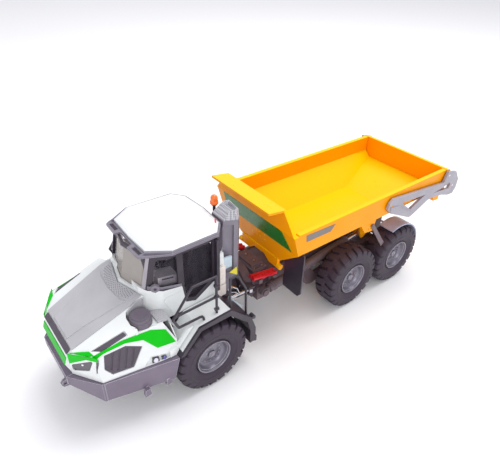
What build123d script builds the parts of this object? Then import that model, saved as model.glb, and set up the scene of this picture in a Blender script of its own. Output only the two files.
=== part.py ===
from build123d import *
import math
import os

# Scale model of a three-axle articulated dump truck, millimetres.
# Lengths along Y are counted from the front axle while building; export moves
# the origin to the middle of the footprint on the ground. The truck faces -Y,
# and +X is its left side.

# Overall
TOW_LUG_Y = -53.8
TAIL_Y = 157.0
MID_Y = (TOW_LUG_Y + TAIL_Y) / 2
TOUCH = 0.05
PIN_CLEAR = 0.12

# Wheels
TYRE_R = 16.15
TYRE_OUT = 29.4
TYRE_IN = 17.6
BOGIE_GAP = 1.3
AXLE_F = 0.0
AXLE_M = 82.1
AXLE_R = AXLE_M + 2 * TYRE_R + BOGIE_GAP
RIM_R = 7.9
RIM_OUT = 28.7
RIM_IN = 19.4
RIM_FIT = 0.15
DISC_X = 24.7
HUB_R = 3.4
HUB_OUT = 27.0
NUT_RING = 5.2
NUT_R = 0.42
NUTS = 10
DRUM_IN = 19.0

# Tyre carcass and lugs
CARCASS_R = 15.0
BEAD_R = 11.6
LUGS = 22
LUG_PITCH = 2 * math.pi / LUGS
LUG_HALF = 0.39 * LUG_PITCH
LUG_TOP_HALF = 0.35 * LUG_PITCH
LUG_R = TYRE_R - 0.02
TREAD_MID = (TYRE_IN + TYRE_OUT) / 2
HALF_WIDE = (TYRE_OUT - TYRE_IN) / 2
LUG_END = HALF_WIDE - 0.8
BORE = (RIM_R + RIM_FIT) / math.cos(LUG_HALF)

# Pivots
STEER_Y = 24.5
SWIVEL_Z = 22.0
TIP_Y = 122.0
TIP_Z = 32.0
GATE_Y = 100.6
GATE_Z = 50.6

# Tractor
NOSE_Y = -49.3
BUMPER_Y = -51.6
BUMPER_TOP = 25.6
CORNER_Y = -43.0
BONNET_REAR = -22.0
CAB_HALF = 17.0
CAB_FLOOR = 36.0
SILL_Z = 48.0
CAB_TOP = 64.3
CAB_REAR = 15.0
VISOR_TOP = 65.2
ROOF_TOP = 67.0

# Bed
BED_HALF = 27.0
BED_RAIL_Z = 56.0
BED_SIDE_Z = 46.0
BED_REAR = 145.6
BED_BOTTOM = 33.0
BED_WALL = 2.2


def block(x0, x1, y0, y1, z0, z1):
    return Pos((x0 + x1) / 2, (y0 + y1) / 2, (z0 + z1) / 2) * Box(x1 - x0, y1 - y0, z1 - z0)


def prism_x(points, x0, x1):
    """Profile of (y, z) points carried from x0 to x1."""
    face = make_face(Polyline(*[(x0, y, z) for y, z in points], close=True))
    return Solid.extrude(face.face(), Vector(x1 - x0, 0, 0))


def prism_y(points, y0, y1):
    """Profile of (x, z) points carried from y0 to y1."""
    face = make_face(Polyline(*[(x, y0, z) for x, z in points], close=True))
    return Solid.extrude(face.face(), Vector(0, y1 - y0, 0))


def prism_z(points, z0, z1):
    """Outline of (x, y) points carried from z0 to z1."""
    face = make_face(Polyline(*[(x, y, z0) for x, y in points], close=True))
    return Solid.extrude(face.face(), Vector(0, 0, z1 - z0))


def rod(p, q, r):
    """Round bar of radius r from point p to point q."""
    a = Vector(*p)
    b = Vector(*q)
    d = b - a
    return Plane(origin=a, z_dir=d) * Cylinder(r, d.length, align=(Align.CENTER, Align.CENTER, Align.MIN))


def round_x(y, z, r, x0, x1):
    return rod((x0, y, z), (x1, y, z), r)


def tube_run(points, r):
    """Bent round bar through the points, its corners closed by balls."""
    pieces = [rod(p, q, r) for p, q in zip(points, points[1:])]
    return pieces + [Pos(*p) * Sphere(r) for p in points[1:-1]]


def both(shape):
    """A left piece and its mirror image on the right."""
    shapes = shape if isinstance(shape, list) else [shape]
    return shapes + [mirror(s, Plane.YZ) for s in shapes]


def mirrored(points):
    """Half outline from the centre line to the left, closed on the right."""
    return points + [(-x, y) for x, y in reversed(points) if x > 0]


def fuse(*shapes):
    pieces = []
    for s in shapes:
        pieces.extend(s if isinstance(s, (list, tuple)) else [s])
    out = pieces[0]
    for s in pieces[1:]:
        out = out + s
    return out


def section(points):
    """Half cross section from the top outside inward, closed on the right."""
    return points + [(-x, z) for x, z in reversed(points)]


def revolve_x(profile):
    """Profile of (x, radius) pairs turned round the X axis."""
    face = make_face(Polyline(*[(x, 0, r) for x, r in profile], close=True))
    return revolve(face, Axis.X, 360)


PARTS = {}


def keep(name, *shapes):
    PARTS[name] = fuse(*shapes)


# Rims: deep dish with bead, disc, hub and nuts, and the brake drum behind
RIM_PROFILE = [
    (DRUM_IN, 0), (DRUM_IN, 3.0), (RIM_IN + 1.6, 3.0), (RIM_IN + 1.6, 6.2), (RIM_IN, 6.2), (RIM_IN, RIM_R),
    (RIM_OUT, RIM_R), (RIM_OUT, RIM_R - 0.7), (RIM_OUT - 1.2, RIM_R - 1.1), (DISC_X + 0.9, RIM_R - 1.5),
    (DISC_X, RIM_R - 2.2), (DISC_X, HUB_R + 0.8), (DISC_X + 1.0, HUB_R), (HUB_OUT - 0.6, HUB_R - 0.9),
    (HUB_OUT, HUB_R - 1.4), (HUB_OUT, 0)]


def rim():
    body = revolve_x(RIM_PROFILE)
    for i in range(NUTS):
        a = math.radians(360 * i / NUTS)
        y, z = NUT_RING * math.cos(a), NUT_RING * math.sin(a)
        body += round_x(y, z, NUT_R, DISC_X - 0.2, DISC_X + 0.7)
    return body


def turned(shift, x, r):
    """Ring of flats about the axle, a wide one under each lug and a narrow one between two lugs."""
    ring = []
    for i in range(LUGS):
        middle = (i + shift) * LUG_PITCH
        ring += [(x, r * math.cos(middle + d), r * math.sin(middle + d)) for d in (-LUG_HALF, LUG_HALF)]
    return ring


def tread_half(shift):
    """Half of a tyre from its middle to its side, with a ring of lugs."""
    gear = []
    for i in range(LUGS):
        middle = (i + shift) * LUG_PITCH
        for d, r in ((-LUG_HALF, CARCASS_R), (-LUG_TOP_HALF, LUG_R), (LUG_TOP_HALF, LUG_R), (LUG_HALF, CARCASS_R)):
            gear.append((r * math.cos(middle + d), r * math.sin(middle + d)))
    half = prism_x(gear, 0, LUG_END)
    side = [(LUG_END, CARCASS_R), (HALF_WIDE, BEAD_R), (HALF_WIDE - 1.0, BORE)]
    half += Solid.make_loft([Wire.make_polygon(turned(shift, x, r)) for x, r in side], True)
    bore = [(y, z) for x, y, z in turned(shift, 0, BORE)]
    return half - prism_x(bore, 0, HALF_WIDE)


def tyre():
    inner = mirror(tread_half(0.5), Plane.YZ)
    return Pos(TREAD_MID, 0, 0) * (tread_half(0) + inner)




RIM = rim()
TYRE = tyre()
for axle, y in (("front", AXLE_F), ("middle", AXLE_M), ("rear", AXLE_R)):
    for side in ("left", "right"):
        wheel_rim = RIM if side == "left" else mirror(RIM, Plane.YZ)
        wheel_tyre = TYRE if side == "left" else mirror(TYRE, Plane.YZ)
        keep(f"wheel_{axle}_{side}", Pos(0, y, TYRE_R) * wheel_rim)
        keep(f"tyre_{axle}_{side}", Pos(0, y, TYRE_R) * wheel_tyre)

# Axle casting with its differential bulge, turned along the axle
AXLE_END = 18.9
AXLE_CASTING = [(0, 0), (0, 5.6), (3.0, 5.6), (6.5, 3.2), (14.0, 3.2), (AXLE_END, 2.2), (AXLE_END, 0)]


def axle(y):
    half = Pos(0, y, TYRE_R) * revolve_x(AXLE_CASTING)
    return both(half)


def fork(outline, z_mid, eye, plate=1.0):
    """Two plates over and under an eye of the given height."""
    gap = eye / 2 + 0.15
    return [prism_z(outline, z_mid - gap - plate, z_mid - gap), prism_z(outline, z_mid + gap, z_mid + gap + plate)]


# Steering cylinder pins: front ones on the tractor, rear ones on the swivel housing
SC_F = (10.5, -3.0)
SC_R = (12.0, STEER_Y + 6.0)
SC_Z = 24.6
SC_PIN = 0.8
SC_EYE = 1.8
SC_EYE_R = 1.6

# Front frame: rails, axle, hitch cheeks with rounded ends, cylinder forks and bonnet carriers
RAIL_IN = 5.0
RAIL_OUT = 8.0
RAIL_LOW = 14.0
RAIL_HIGH = 22.0
CHEEKS = [(14.5, 16.5), (27.5, 29.5)]
CHEEK_R = 3.7
HITCH_PIN_R = 1.6
SPINE_HALF = 5.8
front_frame = fuse(
    both(block(RAIL_IN, RAIL_OUT, -40, 12, RAIL_LOW, RAIL_HIGH)),
    block(-RAIL_OUT, RAIL_OUT, -40, -36, RAIL_LOW, RAIL_HIGH),
    block(-RAIL_OUT, RAIL_OUT, -14, -10, RAIL_LOW, RAIL_HIGH),
    block(-SPINE_HALF, SPINE_HALF, 8, 16, CHEEKS[0][0], CHEEKS[1][1]),
    axle(AXLE_F))
for z0, z1 in CHEEKS:
    front_frame += prism_z([(-SPINE_HALF, 13), (SPINE_HALF, 13), (CHEEK_R, STEER_Y), (-CHEEK_R, STEER_Y)], z0, z1)
    front_frame += rod((0, STEER_Y, z0), (0, STEER_Y, z1), CHEEK_R)
fx, fy = SC_F
front_frame += both(block(RAIL_OUT - 0.5, fx + 2.0, fy - 5.0, fy - 2.4, 16, SC_Z + 2.4))
front_frame += both(block(RAIL_IN, RAIL_OUT, -14, fy - 2.4, 21, SC_Z + 2.4))
for plate in fork([(fx - 1.6, fy - 3), (fx + 1.6, fy - 3), (fx + 1.6, fy + 1.4), (fx - 1.6, fy + 1.4)], SC_Z, SC_EYE):
    front_frame += both(plate)
front_frame += both(rod((fx, fy, SC_Z - 1.5), (fx, fy, SC_Z + 1.5), SC_PIN))
CARRIER_Y = -19.5
front_frame += both(block(RAIL_OUT, 22, CARRIER_Y - 1.1, CARRIER_Y + 1.1, 18, RAIL_HIGH))
front_frame += block(-4, 4, -1, 8, RAIL_HIGH - 0.1, CAB_FLOOR - 0.1)
front_frame -= rod((0, STEER_Y, 10), (0, STEER_Y, 35), HITCH_PIN_R)
keep("front_frame", front_frame)

# Hitch yoke: upright pin between the cheeks, round flange, trunnion turned along the truck, steering cylinder forks
FLANGE_R = 8.4
FLANGE_Y = STEER_Y + 4.2
FLANGE_THICK = 1.8
TRUNNION_R = 2.5
TRUNNION_END = STEER_Y + 9.0
yoke = fuse(
    rod((0, STEER_Y, 14.0), (0, STEER_Y, 30.0), HITCH_PIN_R - PIN_CLEAR),
    rod((0, STEER_Y, CHEEKS[0][1] + 0.2), (0, STEER_Y, CHEEKS[1][0] - 0.2), 3.2),
    rod((0, STEER_Y + 1, SWIVEL_Z), (0, FLANGE_Y + 0.4, SWIVEL_Z), 4.6),
    rod((0, FLANGE_Y, SWIVEL_Z), (0, FLANGE_Y + FLANGE_THICK, SWIVEL_Z), FLANGE_R),
    rod((0, FLANGE_Y, SWIVEL_Z), (0, TRUNNION_END, SWIVEL_Z), TRUNNION_R))
sx, sy = SC_R
for plate in fork([(5.0, FLANGE_Y + 0.1), (5.0, FLANGE_Y + 1.7), (9.4, FLANGE_Y + 1.7), (10.6, sy + 1.6),
                   (sx + 1.5, sy + 1.6), (sx + 1.5, sy - 1.6), (10.6, FLANGE_Y + 0.1)], SC_Z, SC_EYE):
    yoke += both(plate)
for z in (SC_Z - SC_EYE / 2 - 1.55, SC_Z + SC_EYE / 2 + 1.1):
    yoke += both(rod((sx, sy, z), (sx, sy, z + 0.45), 1.1))
keep("hitch_yoke", yoke)

# Bumper: prow of a front, two corners and two sides, seamed, with the towing lug and step brackets
BUMPER_WALL = 2.3
BUMPER_PLAN = [(0, BUMPER_Y), (11.7, BUMPER_Y), (22.6, CORNER_Y), (28.5, -14.0)]
BUMPER_BACK = [(0, BUMPER_Y + BUMPER_WALL + 0.5), (10.7, BUMPER_Y + BUMPER_WALL + 0.5), (20.3, CORNER_Y + 1.6),
               (28.5 - BUMPER_WALL, -13.0)]
BUMPER_SIDE = [(BUMPER_Y, 21.6), (CORNER_Y, 16.5), (-17.4, 15.2), (-15.1, BUMPER_TOP), (-60, BUMPER_TOP), (-60, 22.0)]
LUG_IN = 10.2
LUG_OUT = 11.5
LUG_HOLE = (-52.4, 22.3)
LUG_HOLE_R = 0.6
bumper = prism_z(mirrored(BUMPER_PLAN), 14, BUMPER_TOP) - prism_z(mirrored(BUMPER_BACK), 13, BUMPER_TOP + 1)
bumper &= prism_x(BUMPER_SIDE, -30, 30)
bumper += both(block(RAIL_IN, RAIL_OUT, BUMPER_Y + 2.4, -40 - TOUCH, 17.5, 22.5))
bumper += block(-11.5, 11.5, BUMPER_Y + 2.4, BUMPER_Y + 4.1, 17.5, 22.5)
lug = prism_x([(-51.0, 24.4), (-53.0, 23.6), (TOW_LUG_Y, 22.4), (-53.2, 21.0), (-51.0, 20.4)], LUG_IN, LUG_OUT)
lug -= round_x(*LUG_HOLE, LUG_HOLE_R, LUG_IN - 1, LUG_OUT + 1)
bumper += lug
for y in (-28.6, -19.6):
    bumper += both(prism_x([(y - 1.0, 16.6), (y + 1.0, 16.6), (y + 1.3, 13.4), (y - 1.3, 13.4)], 25.6, 27.4))
SEAM = 0.06
bumper -= both(block(BUMPER_PLAN[1][0], BUMPER_PLAN[1][0] + SEAM, -56, -45, 13, 27))
bumper -= both(block(15, 30, CORNER_Y + 0.8, CORNER_Y + 0.8 + SEAM, 13, 27))
keep("front_bumper", bumper)

# Bonnet: shell over the nose. Half section columns: y, deck edge x, deck edge z, shoulder x, shoulder z, base x
BONNET_SECTIONS = [
    (-50.0, 12.1, 35.8, 18.8, 34.9, 21.6),
    (CORNER_Y, 12.5, 38.9, 20.2, 38.4, 22.3),
    (BONNET_REAR, 14.0, 48.0, 21.8, 44.6, 25.6),
    (-12.0, 14.4, 50.0, 22.2, 45.8, 26.6)]
BONNET_PLAN = [(0, NOSE_Y), (11.8, NOSE_Y), (22.2, -42.3), (26.2, -18.0), (26.6, -14.0), (0, -14.0)]
BONNET_LOW = 20.0
WALL = 1.2


def bonnet_body(k):
    """Outside of the bonnet drawn in by k on all its faces but the open bottom."""
    wires = []
    for y, dx, dz, sx, sz, bx in BONNET_SECTIONS:
        half = [(dx - k, dz - k), (sx - k, sz - k), (bx - k, BUMPER_TOP), (bx - k, BONNET_LOW)]
        ring = half + [(-x, z) for x, z in reversed(half)]
        wires.append(Wire.make_polygon([(x, y, z) for x, z in ring]))
    body = Solid.make_loft(wires, True)
    plan = mirrored([(max(x - k, 0), y + (k if y < -15 else 0)) for x, y in BONNET_PLAN])
    return body & prism_z(plan, BONNET_LOW - 1, 60)


def band(shape_outer, shape_inner, cutter):
    """Thin layer between two offset bodies inside a cutter."""
    return (shape_outer - shape_inner) & cutter


# Cab outline at the sill; above and below it the front leans with the windscreen
CAB_PLAN = [(0, -23.4), (11.2, -20.9), (14.4, -19.2), (CAB_HALF, -14.0), (CAB_HALF, 11.0), (13.0, CAB_REAR),
            (0, CAB_REAR)]
RAKE = 0.2
CAB_MID = -4.0


def cab_ring(z, k, lean=RAKE):
    shift = (z - SILL_Z) * lean
    ring = []
    for x, y in mirrored(CAB_PLAN):
        front = y < -10
        yy = CAB_MID + (y - CAB_MID) * (1 - k / 19.0) + (shift if front else 0)
        ring.append((x * (1 - k / CAB_HALF), yy, z))
    return Wire.make_polygon(ring)


def cab_body(z0, z1, k, lean=RAKE):
    return Solid.make_loft([cab_ring(z0, k, lean), cab_ring(z1, k, lean)], True)


BODY = bonnet_body(0)
bonnet = BODY - block(-40, 40, -60, 0, 10, BUMPER_TOP + 0.2)
bonnet -= bonnet_body(WALL) - block(-40, 40, -60, 0, 10, BUMPER_TOP - 4)
# Prow ridge across the nose and the slant under the front edge of the deck
RIDGE_Y = NOSE_Y - 1.4
RIDGE_Z = 31.0
SLANT_TOP = (-47.7, 36.7)
SLANT_LOW = (NOSE_Y, 35.2)
RIDGE_HALF = 11.3
bonnet += prism_x([(NOSE_Y, 35.2), (RIDGE_Y, RIDGE_Z), (NOSE_Y, 26.2), (NOSE_Y + 1.1, 26.2), (NOSE_Y + 1.1, 34.2)],
                  -RIDGE_HALF, RIDGE_HALF)
bonnet -= prism_x([SLANT_TOP, SLANT_LOW, (-52, SLANT_LOW[1]), (-52, 40), (SLANT_TOP[0], 40)], -30, 30)
# Well for the filler cap on the left, open to a step behind it, and a cut to the cab on the right
WELL_FLOOR = 41.2
CAP_X = 18.1
CAP_Y = -24.0
CAP_R = 4.0
CAP_TOP_R = 3.55
CAP_TOP = 45.0
WELL = [(13.3, -10), (13.3, -20.3), (13.3, -23.5), (14.4, -27.6), (16.2, -28.5), (19.4, -28.4), (22.0, -26.8),
        (22.4, -21.5), (24.6, -21.0), (26.0, -10)]
RIM_CUT = [(-21.6, 42.6), (-17.8, 41.1), (-13.5, 31.0), (-13.4, 29.0), (0, 29.0), (0, 60), (-21.6, 60)]
bonnet -= prism_z(WELL, WELL_FLOOR, 60)
bonnet -= prism_x([(-28.2, 42.7)] + RIM_CUT[:1] + [(-21.6, 60), (-28.2, 60)], 21.0, 30)
bonnet -= prism_x(RIM_CUT, 17.2, 30)
bonnet -= prism_z([(-14.5, BONNET_REAR), (-30, BONNET_REAR), (-30, -10), (-14.5, -10)], WELL_FLOOR, 60)
bonnet -= prism_x(RIM_CUT, -30, -17.2)
bonnet += block(13.2, 22.0, -28, -17.4, WELL_FLOOR - 1.2, WELL_FLOOR)
bonnet += both(block(8.2, 24.4, CARRIER_Y - 1.1, CARRIER_Y + 1.1, RAIL_HIGH + TOUCH, 26.5))
bonnet -= cab_body(CAB_FLOOR - 6, CAB_TOP, -0.15)
SIDE_WING = [(-17.9, 26.1), (-16.4, 26.1), (-7.4, 36.4), (-9.6, 36.4), (-14.2, 30.9), (-17.9, 29.0)]
side_wing = prism_x(SIDE_WING, 25.2, 26.4)
bonnet += both(side_wing)
bonnet -= prism_x([(-15.4, 20), (-15.3, 25.9), (-6.5, 36.3), (-6.5, 50), (0, 50), (0, 20)], -40, 40)
# Recesses: side grilles, vents on the slant above them and the lamp slots over the bumper
RECESS = 0.7
SIDE_GRILLE = [(-39.8, 36.9), (-32.3, 37.7), (-26.6, 35.0), (-31.1, 27.6), (-38.5, 27.9), (-40.8, 31.2)]
SIDE_VENT = [(17.8, -43.0), (19.3, -31.0), (22.6, -30.4), (21.2, -39.8)]
LAMP_SLOT = [(-27.5, 26.2), (-24.5, 29.5), (-17.4, 27.8), (-17.4, 26.2)]
recess_floor = bonnet_body(RECESS)
for outline in (SIDE_GRILLE, LAMP_SLOT):
    bonnet -= both(band(BODY, recess_floor, prism_x(outline, 15, 30)))
above_shoulder = prism_x([(-60, 32.4), (-20, 44.6), (-20, 60), (-60, 60)], 0, 40)
bonnet -= both(band(BODY, recess_floor, prism_z(SIDE_VENT, 34, 60)) & above_shoulder)
# Headlamp on the slanted corner: outlines as (run along the corner, height)
FACET_A = (11.8, NOSE_Y)
FACET_B = (22.2, -42.3)
FACET_TURN = math.degrees(math.atan2(FACET_B[1] - FACET_A[1], FACET_B[0] - FACET_A[0]))


def on_facet(points, depth, out=0.0):
    """Outline of (run, z) points on the slanted corner, carried from out in front of it to depth behind."""
    c, s = math.cos(math.radians(FACET_TURN)), math.sin(math.radians(FACET_TURN))
    ring = [(FACET_A[0] + t * c + out * s, FACET_A[1] + t * s - out * c, z) for t, z in points]
    face = Face(Wire.make_polygon(ring))
    return Solid.extrude(face, Vector(-s * (depth + out), c * (depth + out), 0))


def shrunk(points, d):
    """Outline with every corner pulled d toward the middle."""
    cx = sum(p[0] for p in points) / len(points)
    cy = sum(p[1] for p in points) / len(points)
    out = []
    for x, y in points:
        n = math.hypot(x - cx, y - cy)
        out.append((cx + (x - cx) * (1 - d / n), cy + (y - cy) * (1 - d / n)))
    return out


LAMP = [(0.7, 28.3), (0.5, 30.2), (1.2, 31.2), (9.6, 35.9), (9.9, 35.2), (7.9, 30.4), (7.0, 29.9), (1.3, 28.0)]
LAMP_BAR = [(10.5, 29.9), (11.1, 30.2), (12.0, 36.6), (11.3, 36.2)]
LAMP_DEEP = 0.9
for outline in (LAMP, LAMP_BAR):
    bonnet -= both(on_facet(outline, LAMP_DEEP, 0.4))
keep("bonnet", bonnet)

# Grey deck plate on the bonnet: low border, raised middle and a perforated panel at the screen
DECK_LOW = 0.35
DECK_HIGH = 0.7
DECK_PLAN = [(0, -47.5), (12.0, -47.5), (13.9, -24.6), (13.1, -20.6), (11.8, -20.9), (0, -23.7)]
DECK_MIDDLE = [(0, -47.0), (6.6, -47.0), (7.0, -41.6), (10.6, -25.9), (8.5, -26.9), (0, -27.6)]
SCREEN_PANEL = [(0, -27.3), (6.5, -26.4), (11.4, -24.2), (11.2, -21.4), (0, -23.9)]


def layer(outline, low, high):
    """Plate over the bonnet with the plan outline given for the left half."""
    return band(bonnet_body(-high), bonnet_body(-low), prism_z(mirrored(outline), 34, 60))


deck = layer(DECK_PLAN, TOUCH, DECK_LOW)
deck += layer(DECK_MIDDLE, TOUCH, DECK_HIGH)
deck += layer(SCREEN_PANEL, TOUCH, DECK_HIGH - 0.1)
deck -= cab_body(CAB_FLOOR - 6, CAB_TOP, -0.15)
deck -= prism_z(WELL, WELL_FLOOR, 60)
keep("bonnet_deck", deck)

# Green bands: over the prow ridge, across the slanted corners and along the sides
PAINT = 0.2
SIDE_GREEN = [(-43.0, 36.6), (-43.4, 38.4), (-33.0, 40.4), (-22.6, 40.4), (-17.4, 38.2), (-14.6, 31.6), (-21.7, 32.2),
              (-26.1, 37.6), (-32.2, 38.9), (-39.8, 38.0)]
FACET_GREEN = [(0.1, 31.4), (7.7, 36.2), (12.3, 38.9), (12.3, 41), (0.1, 41)]
NOSE_GREEN = [(RIDGE_Y - TOUCH, RIDGE_Z), (RIDGE_Y + 0.88, 33.8), (RIDGE_Y + 0.68, 33.8), (RIDGE_Y - PAINT, RIDGE_Z)]
paint_outer = bonnet_body(-PAINT)
paint_inner = bonnet_body(-TOUCH)
bands = both(band(paint_outer, paint_inner, prism_x(SIDE_GREEN, 17, 30)))
bands += both(on_facet(FACET_GREEN, -TOUCH, PAINT) & paint_outer)
bands += [prism_x(NOSE_GREEN, -RIDGE_HALF, RIDGE_HALF)]
keep("green_bands", [paint - PARTS["bonnet"] for paint in bands])

# Grilles laid in their recesses, with slanted slots across
SLOT_DEEP = 0.3


def inlay(outline, x0=15, x1=30):
    return band(bonnet_body(0.2), bonnet_body(RECESS - TOUCH), prism_x(shrunk(outline, 0.25), x0, x1))


side_grille = inlay(SIDE_GRILLE)
for i in range(4):
    y = -40.2 + 2.5 * i
    slot = prism_x([(y, 26), (y + 0.9, 26), (y + 4.4, 39), (y + 3.5, 39)], 15, 30)
    slot = slot & prism_x(shrunk(SIDE_GRILLE, 1.1), 15, 30)
    side_grille -= band(BODY, bonnet_body(0.2 + SLOT_DEEP), slot)
vent = band(bonnet_body(0.3), bonnet_body(RECESS - TOUCH), prism_z(shrunk(SIDE_VENT, 0.4), 34, 60))
vent &= above_shoulder
NOSE_SLATS = 3
nose_grille = prism_x([(-47.8, 36.75), (-49.5, 35.3), (-49.5, 35.6), (-47.8, 37.1)], -11.2, 11.2)
for i in range(NOSE_SLATS):
    y = -48.2 - 0.45 * i
    z = 36.95 - 0.37 * i
    nose_grille -= prism_x([(y, z - 0.15), (y - 0.22, z - 0.33), (y - 0.22, z + 0.3), (y, z + 0.4)], -10.4, 10.4)
bars = on_facet(shrunk(LAMP_BAR, 0.1), LAMP_DEEP - TOUCH, -0.3)
keep("front_grille", both([side_grille, vent, bars]), nose_grille)

# Headlamps in the slanted corners and the small lamps over the bumper
lamp = on_facet(shrunk(LAMP, 0.15), LAMP_DEEP - TOUCH, -0.25)
small = [band(bonnet_body(-0.1), bonnet_body(RECESS - TOUCH), prism_x(shrunk(ring, 0.1), 15, 30)) for ring in (
    [(-24.6, 26.4), (-24.2, 28.4), (-21.8, 28.0), (-21.8, 26.4)], [(-21.0, 26.4), (-21.0, 27.6), (-19.0, 27.3),
                                                                   (-19.0, 26.4)])]
keep("headlamps", both([lamp] + small))

# Filler cap, and the step plate that runs back and down beside the cab
cap = rod((CAP_X, CAP_Y, WELL_FLOOR + TOUCH), (CAP_X, CAP_Y, CAP_TOP - 1.6), CAP_R)
cap += rod((CAP_X, CAP_Y, CAP_TOP - 1.7), (CAP_X, CAP_Y, CAP_TOP - 0.3), CAP_TOP_R + 0.25)
cap += rod((CAP_X, CAP_Y, CAP_TOP - 0.4), (CAP_X, CAP_Y, CAP_TOP), CAP_TOP_R)
keep("filler_cap", cap)
STEP_TOP = 42.0
step = prism_x([(-19.4, WELL_FLOOR + TOUCH), (-19.4, STEP_TOP), (-15.0, STEP_TOP), (-12.6, 36.0), (-12.6, 34.5),
                (-15.6, WELL_FLOOR - 0.6), (-17.3, WELL_FLOOR - 0.6), (-17.3, WELL_FLOOR + TOUCH)], 15.0, 22.0)
step -= cab_body(CAB_FLOOR - 6, CAB_TOP, -0.15)
LINER = [(13.4, -20.6), (13.4, -23.5), (14.45, -27.3), (14.85, -27.2), (13.8, -23.5), (13.8, -20.6)]
liner = prism_z(LINER, WELL_FLOOR + TOUCH, 47.6)
liner &= bonnet_body(-0.1)
liner -= cab_body(CAB_FLOOR - 6, CAB_TOP, -0.15)
keep("step_panels", step, liner)

# Cab: white lower body and black upper frame cut from one leaning shell
CAB_WALL = 1.0
whole = cab_body(CAB_FLOOR, CAB_TOP, 0) - cab_body(CAB_FLOOR + 1.2, CAB_TOP + 1, CAB_WALL)
BELT = [(-40, 30), (-40, SILL_Z + 0.95), (-20.8, SILL_Z + 0.95), (-20.5, 51.0), (-6.0, 48.3), (-5.8, 47.4),
        (-4.7, 39.8), (-0.4, 38.3), (9.2, 44.4), (9.2, 55.0), (30, 55.0), (30, 30)]
lower = whole & prism_x(BELT, -30, 30)
upper = whole - prism_x(BELT, -30, 30)
screen = prism_y([(-13.0, 48.9), (13.0, 48.9), (12.4, 63.0), (-12.4, 63.0)], -30, -17.6)
quarter = both(prism_x([(-17.0, 52.4), (-14.6, 62.8), (-7.4, 62.8), (-7.4, 49.6)], 12, 20))
door = both(prism_x([(-5.0, 62.8), (-5.0, 47.6), (-4.1, 41.3), (-0.6, 40.3), (7.6, 45.6), (7.6, 62.8)], 12, 20))
rear_window = block(-10.5, 10.5, 13, 17, 48, 62)
upper -= screen
upper -= quarter
upper -= door
upper -= rear_window
lower -= rear_window
lower += both(block(14.0, CAB_HALF, 9.6, 12.0, 33.8, CAB_FLOOR + 0.1))
keep("cab_shell", lower)
upper += both(block(CAB_HALF - 0.2, CAB_HALF + 0.2, 8.2, 9.1, 45.0, 63.8))
keep("cab_pillars", upper, both(block(CAB_HALF + 0.1, 19.2, 8.2, 9.5, 40.0, 63.8)))

# Grey visor plate round the roof, and the white roof with its sloped edge
VISOR_PLAN = [(0, -17.9), (4.6, -17.9), (5.4, -20.2), (12.6, -19.9), (13.6, -18.6), (18.0, -9.3), (17.7, 10.3),
              (12.4, 14.7), (0, 15.5)]
ROOF_PLAN = [(0, -17.2), (12.2, -16.8), (17.5, -9.0), (17.0, 10.0), (12.0, 14.0), (0, 15.0)]
VISOR_LAMP = [(6.6, -19.3), (12.0, -19.1), (11.8, -17.6), (6.6, -17.7)]
visor = prism_z(mirrored(VISOR_PLAN), CAB_TOP + TOUCH, VISOR_TOP)
visor -= both(prism_z(VISOR_LAMP, VISOR_TOP - 0.35, VISOR_TOP + 1))
keep("roof_visor", visor)


def ring_z(points, z):
    return Wire.make_polygon([(x, y, z) for x, y in mirrored(points)])


def inset(points, d):
    """Plan outline drawn in by about d toward the middle of the cab."""
    return [(x * (1 - d / CAB_HALF), CAB_MID + (y - CAB_MID) * (1 - d / 17.0)) for x, y in points]


roof = Solid.make_loft([ring_z(ROOF_PLAN, VISOR_TOP + TOUCH), ring_z(ROOF_PLAN, ROOF_TOP - 0.8)], True)
roof += Solid.make_loft([ring_z(ROOF_PLAN, ROOF_TOP - 0.8), ring_z(inset(ROOF_PLAN, 1.4), ROOF_TOP - 0.1)], True)
roof += Solid.make_loft([ring_z(inset(ROOF_PLAN, 1.4), ROOF_TOP - 0.1), ring_z(inset(ROOF_PLAN, 4.4), ROOF_TOP)], True)
keep("cab_roof", roof)
glass = cab_body(CAB_FLOOR + 2.0, CAB_TOP - 0.3, CAB_WALL + 0.12) - cab_body(CAB_FLOOR, CAB_TOP, CAB_WALL + 0.6)
keep("cab_glass", glass)

# Seat with head rest, console and steering wheel
FLOOR_Z = CAB_FLOOR + 1.25
seat = fuse(block(-4, 4, -2, 6, 41.5, 44), prism_x([(4.6, 43.0), (7.6, 54.0), (6.4, 54.4), (3.4, 44.0)], -4, 4),
            block(-2.2, 2.2, 6.6, 7.8, 53.6, 57.0), block(-3, 3, -1, 5, FLOOR_Z, 42),
            block(-6.6, -4.9, -3, 5, FLOOR_Z, 46.0), block(4.9, 6.6, -3, 5, FLOOR_Z, 46.0),
            block(-6.6, 6.6, 0, 4, 40, 42))
seat += prism_x([(-17.0, FLOOR_Z), (-17.0, 46.0), (-13.2, 48.4), (-11.4, 47.0), (-11.0, FLOOR_Z)], -8, 8)
seat += rod((0, -12.6, 46), (0, -9.2, 50), 0.6)
wheel_rim = Plane(origin=(0, -9.2, 50.0), z_dir=(0, 3.4, 4.0)) * Torus(2.9, 0.35)
spokes = Plane(origin=(0, -9.2, 50.0), z_dir=(0, 3.4, 4.0)) * Box(5.6, 0.7, 0.5)
seat += wheel_rim
seat += spokes
seat += block(-3, 3, -12, 0, FLOOR_Z, FLOOR_Z + 0.8)
keep("cab_interior", seat)

# Air stack behind the cab with its slotted cap and a cooler box below
STACK = [(4.6, 15.9), (12.3, 15.9), (14.8, 21.0), (13.8, 22.3), (5.0, 22.8), (3.6, 19.7)]
OUTLET = [(6.9, 18.8), (13.3, 18.4), (15.0, 19.8), (14.0, 21.7), (6.6, 22.6), (6.1, 20.4)]
STACK_TOP = 66.0
OUTLET_TOP = 70.5


def ring_flat(points, z):
    return Wire.make_polygon([(x, y, z) for x, y in points])


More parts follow.
